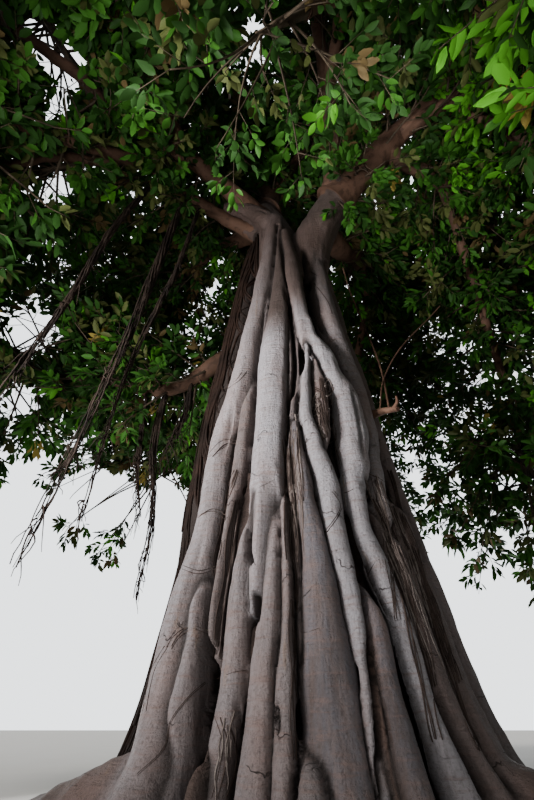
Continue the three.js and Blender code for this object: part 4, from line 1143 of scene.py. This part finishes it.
# Rootlets lie on the bark along pixels of the photograph: the places they pass, their width in metres
# and how many run side by side
rootlets = [
    {'seen': [(211, 456), (224, 443), (236, 443), (244, 446)], 'width': 0.022, 'count': 2},
    {'seen': [(200, 517), (212, 510), (221, 513), (227, 519)], 'width': 0.018, 'count': 2},
    {'seen': [(181, 568), (197, 573), (217, 567)], 'width': 0.02, 'count': 2},
    {'seen': [(170, 648), (176, 638), (190, 628), (207, 633)], 'width': 0.014, 'count': 3},
    {'seen': [(168, 645), (156, 665), (151, 682), (146, 710)], 'width': 0.012, 'count': 3},
    {'seen': [(202, 682), (188, 694), (168, 720), (161, 747), (134, 774)], 'width': 0.01, 'count': 2},
    {'seen': [(217, 679), (234, 672), (247, 670)], 'width': 0.014, 'count': 1},
    {'seen': [(326, 534), (342, 507), (333, 493)], 'width': 0.018, 'count': 2},
    {'seen': [(258, 488), (268, 483), (275, 479)], 'width': 0.012, 'count': 1},
    {'seen': [(297, 633), (308, 632), (319, 628)], 'width': 0.012, 'count': 1},
    {'seen': [(367, 577), (377, 560), (387, 558)], 'width': 0.016, 'count': 1},
    {'seen': [(372, 500), (389, 536), (406, 590), (420, 633), (433, 687)], 'width': 0.022, 'count': 6},
    {'seen': [(384, 480), (413, 556), (430, 599), (446, 640)], 'width': 0.02, 'count': 4},
    {'seen': [(226, 390), (238, 381), (244, 373)], 'width': 0.03, 'count': 2},
    {'seen': [(217, 452), (230, 444), (244, 443)], 'width': 0.016, 'count': 1},
    {'seen': [(301, 429), (313, 415), (309, 404)], 'width': 0.018, 'count': 1},
    {'seen': [(311, 272), (320, 277), (328, 279)], 'width': 0.02, 'count': 1},
    {'seen': [(314, 283), (328, 302), (332, 314)], 'width': 0.022, 'count': 1},
    {'seen': [(288, 436), (291, 480), (292, 520), (294, 560), (296, 610)], 'width': 0.02, 'count': 9},
    {'seen': [(322, 380), (325, 400), (329, 425), (331, 447)], 'width': 0.022, 'count': 9},
    {'seen': [(376, 478), (384, 520), (390, 560), (398, 620)], 'width': 0.018, 'count': 6},
    {'seen': [(238, 500), (232, 540), (224, 600), (216, 660)], 'width': 0.018, 'count': 5},
    {'seen': [(292, 600), (293, 650), (294, 700), (295, 760)], 'width': 0.018, 'count': 4},
    {'seen': [(315, 388), (327, 396), (331, 408), (322, 418), (316, 408)], 'width': 0.03, 'count': 3},
    {'seen': [(318, 424), (330, 430), (334, 440), (326, 436)], 'width': 0.025, 'count': 3},
    {'seen': [(319, 400), (325, 425), (331, 446), (336, 470)], 'width': 0.03, 'count': 5},
    {'seen': [(286, 440), (289, 480), (290, 520), (292, 560)], 'width': 0.026, 'count': 10},
    {'seen': [(295, 430), (296, 465), (298, 500)], 'width': 0.02, 'count': 6},
    {'seen': [(300, 428), (304, 421), (312, 417)], 'width': 0.02, 'count': 2},
    {'seen': [(326, 533), (336, 520), (342, 508)], 'width': 0.016, 'count': 1},
    {'seen': [(344, 493), (348, 492), (353, 489)], 'width': 0.014, 'count': 1},
    {'seen': [(372, 472), (379, 475), (385, 478)], 'width': 0.02, 'count': 2},
    {'seen': [(387, 470), (402, 515), (420, 566), (438, 620), (458, 680)], 'width': 0.03, 'count': 5},
    {'seen': [(392, 560), (404, 600), (414, 640), (424, 690), (436, 740)], 'width': 0.026, 'count': 4},
    {'seen': [(430, 600), (446, 650), (462, 700), (482, 750)], 'width': 0.026, 'count': 4},
    {'seen': [(218, 716), (226, 745), (222, 770), (215, 797)], 'width': 0.013, 'count': 2},
    {'seen': [(232, 728), (238, 748), (236, 775), (228, 797)], 'width': 0.013, 'count': 2},
    {'seen': [(189, 389), (184, 417), (175, 434), (166, 450)], 'width': 0.03, 'count': 2},
    {'seen': [(236, 470), (228, 500), (222, 530), (214, 575)], 'width': 0.022, 'count': 4},
]
rootletLook = {'sunk': 0.25, 'half': 0.36, 'widths': (0.6, 1.2), 'sway': 1.4, 'paces': (0.1, 0.28),
               'drift': 1.3}
curtain = {'count': 120, 'breadth': 16, 'widths': (0.01, 0.032), 'lift': 0.09, 'top': 11.8, 'step': 0.16,
           'feet': [0.05, 2.2, 3.2], 'topSpread': 1.6, 'sways': ((1.6, 0.5, 1), (0.7, 2.6, 2)),
           'lifting': (1.3, 3)}

# Pale curled roots fill a pocket, and pale threads lie in strips: pixels, and widths in metres
pocket = {'middle': (322, 412), 'half': (9, 28), 'count': 60, 'arc': (3, 8), 'turns': (1.2, 4.5),
          'width': 0.013, 'proud': (0.005, 0.05), 'sunken': 0.05}
threadProud = 0.006
threads = [{'from': (291, 425), 'to': (300, 560), 'half': 7, 'count': 34, 'width': 0.009},
           {'from': (330, 425), 'to': (344, 500), 'half': 4, 'count': 10, 'width': 0.009},
           {'from': (378, 490), 'to': (430, 640), 'half': 12, 'count': 40, 'width': 0.01},
           {'from': (230, 715), 'to': (222, 798), 'half': 9, 'count': 10, 'width': 0.008}]

# Lianas hang beside the trunk and a broken stub stands off it: pixels, metres from the camera, radii
lianas = [{'seen': [(343, 268), (349, 289), (362, 321), (380, 366), (389, 408)], 'away': (11, 6.9),
           'radii': (0.018, 0.02)},
          {'seen': [(440, 306), (431, 316), (399, 350), (383, 381), (380, 408)], 'away': (10.4, 6.8),
           'radii': (0.012, 0.014)},
          {'seen': [(372, 415), (384, 411), (398, 409)], 'away': (6.95, 6.6), 'radii': (0.075, 0.04)},
          {'seen': [(394, 408), (397, 402), (396, 396)], 'away': (6.62, 6.6), 'radii': (0.035, 0.014)}]


# The trunk's surface at an angle and a height, or a little off it
def onTrunk(angle, height, lift=0.0):
    turn = math.radians(angle)
    way = Vector((math.sin(turn), -math.cos(turn), 0))
    start = way * 6 + Vector((0, 0, height))
    hit = trunkTree.ray_cast(start, -way)[0]
    return None if hit is None else np.array(hit + way * lift)


def smoothed(places, rounds):
    for _ in range(rounds):
        places[1:-1] = (places[:-2] + 2 * places[1:-1] + places[2:]) / 4
    return places


def buildRootlets():
    look = rootletLook
    strands = []
    for rootlet in rootlets:
        pixels = np.array([(x, y, 0) for x, y in rootlet['seen']], float)
        length = np.linalg.norm(np.diff(pixels, axis=0), axis=1).sum()
        for _ in range(rootlet['count']):
            sway = draws.normal(0, look['sway'] if rootlet['count'] > 1 else 0, 2)
            pace, phase = draws.uniform(*look['paces']), draws.uniform(0, 6)
            places = []
            for j, pixel in enumerate(smoothPath(pixels, int(length / 3) + 2)):
                drift = look['drift'] * math.sin(j * pace + phase) if rootlet['count'] > 3 else 0
                hit, way = seenOn(trunkTree, (pixel[0] + sway[0] * 1.6 + drift, pixel[1] + sway[1]))
                if hit is not None:
                    places.append(np.array(hit - way * rootlet['width'] * look['sunk']))
            if len(places) < 4:
                continue
            places = smoothed(np.array(places), 2)
            breadth = rootlet['width'] * look['half'] * draws.uniform(*look['widths'])
            strands.append((places, breadth * np.linspace(1, 0.6, len(places))))
    addStrands('rootlets_on_the_bark', strands, 1, rootletMaterial)


# Where some pixels fall on the trunk, a little proud of it and only where it is sunken so far
def layOnBark(pixels, proud, sunken=-1.0):
    found = []
    for pixel in pixels:
        hit, way = seenOn(trunkTree, pixel)
        if hit is not None and trunkRadius(hit.z) - math.hypot(hit.x, hit.y) > sunken:
            found.append(np.array(hit - way * proud))
    return smoothed(np.array(found), 2) if len(found) > 3 else None


def buildCurls():
    strands = []
    for _ in range(pocket['count']):
        middle = np.array(pocket['middle']) + draws.uniform(-1, 1, 2) * pocket['half']
        turns = np.linspace(0, draws.uniform(*pocket['turns']), 10) * draws.choice([-1, 1])
        turns = turns + draws.uniform(0, 6.3)
        size = draws.uniform(*pocket['arc']) * np.linspace(1, draws.uniform(0.5, 1.3), 10)
        pixels = middle + np.stack([np.cos(turns) * size, np.sin(turns) * size * 1.5], 1)
        places = layOnBark(pixels, draws.uniform(*pocket['proud']), pocket['sunken'])
        if places is not None:
            width = pocket['width'] * draws.uniform(0.6, 1.3)
            strands.append((places, width * np.linspace(1, 0.6, len(places))))
    for thread in threads:
        first, last = np.array(thread['from'], float), np.array(thread['to'], float)
        for _ in range(thread['count']):
            begins = draws.uniform(-0.15, 0.7)
            t = np.linspace(begins, begins + draws.uniform(0.2, 0.6), 16)[:, None]
            off = draws.uniform(-1, 1) * thread['half']
            off = off + 1.6 * np.sin(t * draws.uniform(5, 14) + draws.uniform(0, 6))
            places = layOnBark(first + (last - first) * t + off * (1, 0), threadProud)
            if places is not None:
                width = thread['width'] * draws.uniform(0.5, 1.2)
                strands.append((places, width * np.linspace(1, 0.5, len(places))))
    addStrands('curled_roots_and_threads', strands, 1, curlMaterial)


def buildLianas():
    eye = np.array(photoFrame['place'])
    strands = []
    for liana in lianas:
        pixels = smoothPath([(x, y, 0) for x, y in liana['seen']], 24)
        away = spread(liana['away'], np.linspace(0, 1, 25))
        places = np.array([eye + np.array(wayThrough(pixel)) * length
                           for pixel, length in zip(pixels, away)])
        strands.append((places, spread(liana['radii'], np.linspace(0, 1, 25))))
    addStrands('lianas_beside_the_trunk', strands, 2, boughMaterial)


# Dark ropes of root hang side by side down the left of the trunk. Their sways and their lift off it are
# sines of the height: sizes in degrees, how fast they run, and turns of their phase
def buildRopeCurtain():
    rows = columns['rope curtain']['rows']
    strands = []
    for i in range(curtain['count']):
        off = curtain['breadth'] * (2 * (i + draws.uniform(0, 1)) / curtain['count'] - 1)
        low = draws.choice(curtain['feet']) + draws.uniform(0, 1)
        high = curtain['top'] - draws.uniform(0, curtain['topSpread'])
        phase, lift = draws.uniform(0, 6), draws.uniform(0.0, curtain['lift'])
        heights = np.arange(low, high, curtain['step'])
        sway = sum(size * np.sin(heights * pace + phase * turns)
                   for size, pace, turns in curtain['sways'])
        angles = columnAt(rows, heights)[0] + off + sway
        pace, turns = curtain['lifting']
        lifts = lift * (0.5 + 0.5 * np.sin(heights * pace + phase * turns))
        places = [onTrunk(angle, height, out) for angle, height, out in zip(angles, heights, lifts)]
        places = [place for place in places if place is not None]
        if len(places) > 4:
            places = smoothed(np.array(places), 2)
            width = draws.uniform(*curtain['widths'])
            strands.append((places, width * np.linspace(0.8, 1.1, len(places))))
    addStrands('rope_curtain_on_the_trunk', strands, 1, ropeMaterial)


buildRootlets()
buildCurls()
buildLianas()
buildRopeCurtain()

# Colours are dealt out by spray: shares for the far leaves, then brighter shares as painted light for
# near and far ones that catch the light, and darker ones as painted shade for near ones in the shade
leafColors = {
    'dark leaf': (0.012, 0.037, 0.006), 'mid leaf': (0.024, 0.082, 0.009),
    'bright leaf': (0.055, 0.2, 0.012), 'olive leaf': (0.05, 0.06, 0.017),
    'rust leaf': (0.065, 0.045, 0.018), 'yellow leaf': (0.2, 0.15, 0.03),
}
leafFinish = {'roughness': 0.55, 'specular': 0.07}
leafShares = [0.42, 0.3, 0.03, 0.2, 0.046, 0.004]
nearShares = [0.3, 0.48, 0.16, 0.05, 0.01, 0]
litShares = [0.06, 0.26, 0.6, 0.06, 0.01, 0.01]
shadeShares = [0.7, 0.16, 0, 0.1, 0.04, 0]

# Outline of a leaf as places along and across it, and how far it arches and folds
leafShape = {'far': {'rib': (0, 1), 'edges': (0.27, 0.7), 'halfWidths': (0.19, 0.18), 'fold': 0.05,
                     'arch': 0.05},
             'near': {'rib': (0, 0.2, 0.45, 0.75, 1), 'edges': (0.1, 0.3, 0.55, 0.82),
                      'halfWidths': (0.11, 0.21, 0.21, 0.11), 'fold': 0.05, 'arch': 0.09}}

# A mass has branches that reach to a share of its rim, sprays on each and leaves on each spray
crown = {'branches': 46, 'sprays': 13, 'leaves': 11, 'innermost': 0.22, 'sprayLength': (0.35, 0.9),
         'leafLength': (0.25, 0.37), 'petiole': 0.035, 'rim': 0.97, 'twigs': (0.042, 0.012)}
nearCrown = {'branches': 22, 'sprays': 8, 'leaves': 9, 'innermost': 0.3, 'sprayLength': (0.25, 0.5),
             'leafLength': (0.13, 0.195), 'petiole': 0.03, 'rim': 1.0, 'twigs': (0.02, 0.006)}

# Shoots along the boughs: how many, from which share of a bough, and more of them on some boughs. They
# keep clear of the trunk up to a height
sideShoots = {'each': 18, 'from': 0.3, 'length': (0.9, 2.2), 'onward': 0.5, 'upward': 0.2, 'bend': 0.1,
              'clear': 0.5, 'clearTo': 14.5, 'look': {'sprays': 8, 'innermost': 0.2}}
fullerBoughs = {'right': 34, 'right_front': 38, 'back_right': 38, 'back_left': 38, 'back': 30,
                'left_low': 26}
leafyFrom = {'right_front': 0.02, 'back_right': 0.15, 'back_left': 0.15}
forkShoots = {'count': 14, 'to': 0.28, 'length': (0.5, 1.5), 'off': (0, 0.25, 0.1),
              'across': (-0.5, 0.25), 'forward': (-0.5, -0.1), 'bend': 0.08, 'sag': (0, 0.15, 0),
              'look': {'sprays': 6, 'innermost': 0.1, 'sprayLength': (0.25, 0.5),
                       'leafLength': (0.2, 0.32)}}

# Ovals where the crown is open, each a middle and half sizes in pixels
openings = [(40, 34, 22, 30), (64, 66, 24, 34), (54, 106, 18, 24), (52, 190, 26, 20), (30, 330, 34, 26),
            (20, 400, 26, 20), (222, 262, 6, 6), (96, 500, 46, 34), (166, 540, 42, 60)]

# Ovals where near leaves get painted light, where they are left out, and where far ones get painted
# light
nearPlaces = [(300, 135, 50, 54), (326, 200, 24, 34), (140, 14, 30, 16), (100, 96, 34, 30)]
nearGaps = [(262, 240, 34, 62), (300, 270, 40, 44), (194, 110, 50, 44), (44, 60, 40, 60),
            (160, 170, 50, 26), (232, 44, 26, 30)]
litPlaces = [(488, 62, 52, 66), (470, 150, 30, 40)]

# Some boughs show against leaves behind them: within half a width of a line in pixels, no leaves stand
# nearer to the camera than a distance
boughPlaces = [{'from': (0, 15), 'to': (104, 98), 'half': 15, 'nearer': 15},
               {'from': (0, 167), 'to': (118, 154), 'half': 13, 'nearer': 13.5},
               {'from': (312, 0), 'to': (324, 86), 'half': 15, 'nearer': 16},
               {'from': (342, 194), 'to': (424, 108), 'half': 17, 'nearer': 16},
               {'from': (165, 388), 'to': (228, 360), 'half': 12, 'nearer': 11},
               {'from': (400, 165), 'to': (460, 260), 'half': 7, 'nearer': 14}]


# Vertices of one leaf along, across and above its way, and its faces
def leafTemplate(shape):
    rib, edges, halfWidths = shape['rib'], shape['edges'], shape['halfWidths']

    def arch(t):
        return shape['arch'] * (1 - (2 * t - 0.7) ** 2)
    places = [(t, 0, arch(t)) for t in rib]
    for side in (-1, 1):
        places += [(t, side * w, arch(t) + shape['fold']) for t, w in zip(edges, halfWidths)]
    faces = []
    last = len(rib) - 1
    for side in (0, 1):
        edge = [len(rib) + side * len(edges) + i for i in range(len(edges))]
        if last == 1:
            found = [(0, 1, edge[1], edge[0])]
        else:
            found = [(0, 1, edge[0]), (1, 2, edge[1], edge[0]), (2, 3, edge[2], edge[1]),
                     (3, 4, edge[3], edge[2])]
        faces += [face[::-1] if side == 0 else face for face in found]
    return np.array(places), faces


# Two ways across some others
def frameOf(ways):
    level = np.zeros_like(ways)
    level[..., 2] = 1
    steep = np.abs(ways[..., 2]) > 0.95
    level[steep] = (1, 0, 0)
    beside = unit(np.cross(ways, level))
    return beside, np.cross(beside, ways)


# Branches are tried ever longer until they leave the mass's own space, and the short ones are left out.
# Their twigs end a little inside, bowed upwards and bent at random, and the stem runs on into the mass
branchLook = {'from': 0.3, 'step': 0.05, 'gap': 0.08, 'least': 0.8, 'inside': 0.25, 'bow': 0.1,
              'bend': 0.12, 'stem': 0.5}


# One mass: twigs branch from its stem by the golden angle and reach the edge of its own space. Each
# carries sprays, and each spray its leaves in a spiral
def growMass(name, limb, look, shares):
    mass = masses[name]
    centre, radius = mass['centre'], mass['radius']
    path = limb['path']
    tip, way = path[-1], unit(path[-1] - path[-4])
    first = tip + way * branchLook['stem']
    count = look['branches']
    index = np.arange(count)
    level = 1 - 2 * (index + 0.5) / count
    turn = draws.uniform(0, 2 * math.pi) + index * goldenTurn + draws.uniform(-0.25, 0.25, count)
    flat = np.sqrt(1 - level ** 2)
    ways = np.stack([flat * np.cos(turn), flat * np.sin(turn), level * squash], 1)
    reach = np.full(count, branchLook['from'] - branchLook['step'])
    for tried in np.arange(branchLook['from'], radius + 0.01, branchLook['step']):
        inside = inOwnSpace(name, centre + ways * tried)
        reach = np.where(inside & (reach >= tried - branchLook['gap']), tried, reach)
    kept = reach > branchLook['least']
    ways, reach = ways[kept], reach[kept] * look['rim'] * draws.uniform(0.9, 1, kept.sum())
    count = len(reach)
    ends = centre + ways * (reach - branchLook['inside'])[:, None]
    starts = first + (centre - first) * draws.uniform(0.05, 1, count)[:, None]
    middles = (starts + ends) / 2 + np.array([0, 0, branchLook['bow']]) * reach[:, None]
    middles = middles + draws.normal(0, branchLook['bend'], (count, 3))
    found, strands = leafOut(starts, middles, ends, look, shares,
                             lambda places: inOwnSpace(name, places, -0.1))
    stem = [limb['radii'][1]] * 2 + [limb['radii'][1] * 0.85, look['twigs'][0]]
    strands.append((np.array([path[-3], tip, first, centre]), np.array(stem)))
    shoots = [growSideShoots(limb, look, shares)] if look is crown else []
    if limb['name'] == 'right_front':
        shoots.append(growForkShoots(limb, look))
    for more, moreStrands in shoots:
        strands += moreStrands
        found = {key: np.concatenate([found[key], more[key]]) for key in found}
    return found, strands


# Leafy shoots stand off a bough by the golden angle where it runs open between the trunk and its mass
def growSideShoots(limb, look, shares):
    count = fullerBoughs.get(limb['name'], sideShoots['each'])
    first = leafyFrom.get(limb['name'], sideShoots['from'])
    at = first + (1 - first) * (np.arange(count) + draws.uniform(0, 1, count)) / count
    starts = along(limb['path'], at)
    ahead, behind = np.minimum(at + 0.02, 1), np.maximum(at - 0.02, 0)
    heading = unit(along(limb['path'], ahead) - along(limb['path'], behind))
    beside, above = frameOf(heading)
    around = (np.arange(count) * goldenTurn + draws.uniform(0, 6.3))[:, None]
    ways = unit(heading * sideShoots['onward'] + beside * np.cos(around) + above * np.sin(around)
                + np.array([0, 0, sideShoots['upward']]))
    reach = draws.uniform(*sideShoots['length'], (count, 1))
    ends = starts + ways * reach
    middles = (starts + ends) / 2 + draws.normal(0, sideShoots['bend'], (count, 3))

    def clearOfTrunk(places):
        height = places[..., 2]
        room = np.hypot(places[..., 0], places[..., 1]) - trunkRadius(np.minimum(height, 12))
        return (room > sideShoots['clear']) | (height > sideShoots['clearTo'])
    return leafOut(starts, middles, ends, {**look, **sideShoots['look']}, shares, clearOfTrunk)


# Leafy shoots hang from the foot of the right front bough before the fork
def growForkShoots(limb, look):
    count = forkShoots['count']
    starts = along(limb['path'], draws.uniform(0, forkShoots['to'], count)) - forkShoots['off']
    ways = unit(np.stack([draws.uniform(*forkShoots['across'], count),
                          draws.uniform(*forkShoots['forward'], count), -np.ones(count)], 1))
    reach = draws.uniform(*forkShoots['length'], (count, 1))
    ends = starts + ways * reach
    middles = (starts + ends) / 2 + draws.normal(0, forkShoots['bend'], (count, 3)) - forkShoots['sag']
    return leafOut(starts, middles, ends, {**look, **forkShoots['look']}, nearShares,
                   lambda places: places[..., 2] > 0)


# Whether pixels lie in any of some ovals
def within(pixels, ovals):
    found = np.zeros(pixels.shape[:-1], bool)
    for x, y, halfX, halfY in ovals:
        found |= np.hypot((pixels[..., 0] - x) / halfX, (pixels[..., 1] - y) / halfY) < 1
    return found


# The room in pixels that a spray takes beside such a line grows as it nears the camera
sprayRoom = {'atMetre': 80, 'less': 8, 'most': 9}


# Whether a spray would stand before a bough that the photograph shows
def hidingBoughs(tips, seenAt):
    away = np.linalg.norm(tips - np.array(photoFrame['place']), axis=-1)
    found = np.zeros(away.shape, bool)
    for shown in boughPlaces:
        first, last = np.array(shown['from'], float), np.array(shown['to'], float)
        run = last - first
        share = np.clip(((seenAt - first) @ run) / (run @ run), 0, 1)
        apart = np.linalg.norm(seenAt - first - share[..., None] * run, axis=-1)
        room = np.clip(sprayRoom['atMetre'] / away - sprayRoom['less'], 0, sprayRoom['most'])
        found |= (apart < shown['half'] + room) & (away < shown['nearer'])
    return found


# How sprays stand off a twig and leaves off a spray, in degrees, and how leaves droop. A spray with too
# few leaves is left out, and no leaf tip goes further past the solids' box than 'pastBox'
sprayLook = {'shift': 0.04, 'opened': (32, 72), 'lift': 0.12, 'first': 0.3, 'leafOpened': 72,
             'closing': 42, 'uneven': 12, 'droop': 0.22, 'droops': (0.2, 1.8), 'fewest': 4,
             'mixed': 0.18, 'pastBox': 0.05}


# Sprays along some twigs and the leaves that each carries in a spiral, where they are allowed
def leafOut(starts, middles, ends, look, shares, allowed):
    count = len(starts)
    sprays = look['sprays']
    t = look['innermost'] + (1 - look['innermost']) * (np.arange(sprays) + 1) / sprays
    shift = draws.uniform(-sprayLook['shift'], sprayLook['shift'], (count, sprays))
    t = np.clip(t[None] + shift, 0, 1)[..., None]
    a, b, c = starts[:, None], middles[:, None], ends[:, None]
    bases = a * (1 - t) ** 2 + 2 * b * t * (1 - t) + c * t ** 2
    heading = unit(2 * (1 - t) * (b - a) + 2 * t * (c - b))
    beside, above = frameOf(heading)
    around = (np.arange(sprays) * goldenTurn)[None, :, None] + draws.uniform(0, 6.3, (count, 1, 1))
    opened = np.radians(draws.uniform(*sprayLook['opened'], (count, sprays, 1)))
    opened = opened * (1 - 0.75 * (t > 0.97))
    outward = beside * np.cos(around) + above * np.sin(around)
    sprayWay = unit(heading * np.cos(opened) + outward * np.sin(opened)
                    + np.array([0, 0, sprayLook['lift']]))
    sprayLength = draws.uniform(*look['sprayLength'], (count, sprays, 1))
    tips = bases + sprayWay * sprayLength

    leaves = look['leaves']
    first = sprayLook['first']
    q = (first + (1 - first) * (np.arange(leaves) / (leaves - 1)) ** 0.8)[None, None, :, None]
    roots = bases[:, :, None] + (tips - bases)[:, :, None] * q
    beside, above = frameOf(sprayWay)
    around = np.arange(leaves)[None, None, :, None] * goldenTurn
    around = around + draws.uniform(0, 6.3, (count, sprays, 1, 1))
    uneven = draws.uniform(-sprayLook['uneven'], sprayLook['uneven'], (count, sprays, leaves, 1))
    opened = np.radians(sprayLook['leafOpened'] - sprayLook['closing'] * q + uneven)
    outward = beside[:, :, None] * np.cos(around) + above[:, :, None] * np.sin(around)
    leafWay = sprayWay[:, :, None] * np.cos(opened) + outward * np.sin(opened)
    droop = draws.uniform(*sprayLook['droops'], (count, sprays, leaves, 1))
    leafWay = unit(leafWay - np.array([0, 0, sprayLook['droop']]) * droop)
    length = draws.uniform(*look['leafLength'], (count, sprays, leaves, 1))
    roots = roots + leafWay * look['petiole']

    leafTips = roots + leafWay * length
    inside = allowed(leafTips) & allowed(roots)
    low, high = np.array(cadBounds[0]), np.array(cadBounds[1])
    past = sprayLook['pastBox']
    inside &= ((leafTips > low - past) & (leafTips < high + past)).all(-1)
    seenAt = pixelsOf(tips)
    inside &= ~within(seenAt, openings)[..., None]
    if look is nearCrown:
        inside &= ~within(seenAt, nearGaps)[..., None]
    inside &= ~hidingBoughs(tips, seenAt)[..., None]
    carried = inside.sum(-1) >= sprayLook['fewest']
    inside &= carried[..., None]
    slots = draws.choice(len(shares), (count, sprays), p=shares)
    # Sprays seen in the lit ovals take the brighter shares: painted light
    brighter, places = (nearShares, nearPlaces) if look is nearCrown else (litShares, litPlaces)
    lit = draws.choice(len(shares), (count, sprays), p=brighter)
    isLit = within(seenAt, places)
    slots = np.where(isLit, lit, slots)[..., None].repeat(leaves, -1)
    other = draws.choice(len(shares), slots.shape, p=shares)
    slots = np.where(draws.random(slots.shape) < sprayLook['mixed'], other, slots)
    found = {'roots': roots[inside], 'ways': leafWay[inside], 'lengths': length[inside][:, 0],
             'slots': slots[inside]}

    strands = []
    steps = np.linspace(0, 1, 7)[:, None]
    for i in range(count):
        if carried[i].any():
            s = steps * t[i][carried[i]].max()
            places = starts[i] * (1 - s) ** 2 + 2 * middles[i] * s * (1 - s) + ends[i] * s ** 2
            strands.append((places, look['twigs'][0] * np.linspace(1, 0.35, 7)))
    thin = [(np.array([base, end]), look['twigs'][1] * np.array([1, 0.5]))
            for base, end in zip(bases[carried], tips[carried])]
    return found, strands + thin


# One mesh of the leaves of several masses
def plantLeaves(name, groups, shape):
    template, faces = leafTemplate(leafShape[shape])
    roots, ways, lengths, slots = [np.concatenate([group[key] for group in groups])
                                   for key in ('roots', 'ways', 'lengths', 'slots')]
    beside, above = frameOf(ways)
    roll = draws.normal(0, 0.55, (len(roots), 1))
    beside, above = (beside * np.cos(roll) + above * np.sin(roll),
                     above * np.cos(roll) - beside * np.sin(roll))
    size = lengths[:, None, None]
    out, across, up = [template[None, :, k:k + 1] for k in range(3)]
    spans = ways[:, None] * out + beside[:, None] * across + above[:, None] * up
    places = roots[:, None] + size * spans
    total, each = len(roots), len(template)
    corners = np.concatenate([np.array(face) for face in faces])
    sizes = np.array([len(face) for face in faces])
    mesh = bpy.data.meshes.new(name)
    mesh.vertices.add(total * each)
    mesh.vertices.foreach_set('co', places.ravel())
    allCorners = (corners[None] + (np.arange(total) * each)[:, None]).ravel()
    mesh.loops.add(len(allCorners))
    mesh.loops.foreach_set('vertex_index', allCorners)
    mesh.polygons.add(total * len(faces))
    firstCorners = np.concatenate([[0], np.cumsum(np.tile(sizes, total))[:-1]])
    mesh.polygons.foreach_set('loop_start', firstCorners)
    mesh.polygons.foreach_set('material_index', np.repeat(slots, len(faces)))
    mesh.update(calc_edges=True)
    piece = bpy.data.objects.new(name, mesh)
    bpy.context.collection.objects.link(piece)
    for material in leafMaterials:
        mesh.materials.append(material)
    shadeSmooth(piece)
    return piece


def leafMaterial(name, color):
    material, _, shader = startMaterial(name)
    shader.inputs['Base Color'].default_value = (*color, 1)
    shader.inputs['Roughness'].default_value = leafFinish['roughness']
    shader.inputs['Specular IOR Level'].default_value = leafFinish['specular']
    return material


leafMaterials = [leafMaterial(name, color) for name, color in leafColors.items()]


def buildCrown():
    bearing = {limb['mass']: limb for limb in limbs.values() if 'mass' in limb}
    groups = [[f'{ring}_{i}' for i in range(first, last)] for ring, first, last in (
        ('skirt', 1, 5), ('skirt', 5, 9), ('shoulder', 1, 5), ('shoulder', 5, 9), ('upper', 1, 4),
        ('upper', 4, 7), ('top', 1, 4))] + [['front_low']]
    total = 0
    for group in groups:
        isNear = group == ['front_low']
        look, shares = (nearCrown, shadeShares) if isNear else (crown, leafShares)
        grown = [growMass(name, bearing[name], look, shares) for name in group]
        label = group[0] + '_onward'
        nodes = [f'foliage_{name}' for name in group]
        shape = 'near' if isNear else 'far'
        leaves = plantLeaves(label + '_leaves', [found for found, strands in grown], shape)
        finishPiece(leaves, None, nodes)
        twigs = drawStrands(label + '_twigs', [strand for found, strands in grown for strand in strands])
        shadeSmooth(twigs)
        finishPiece(twigs, twigMaterial, nodes)
        count = sum(len(found['roots']) for found, strands in grown)
        total += count
        print(label, count, 'leaves', len(twigs.data.polygons), 'twig faces')
    print('leaves in all', total)


buildCrown()
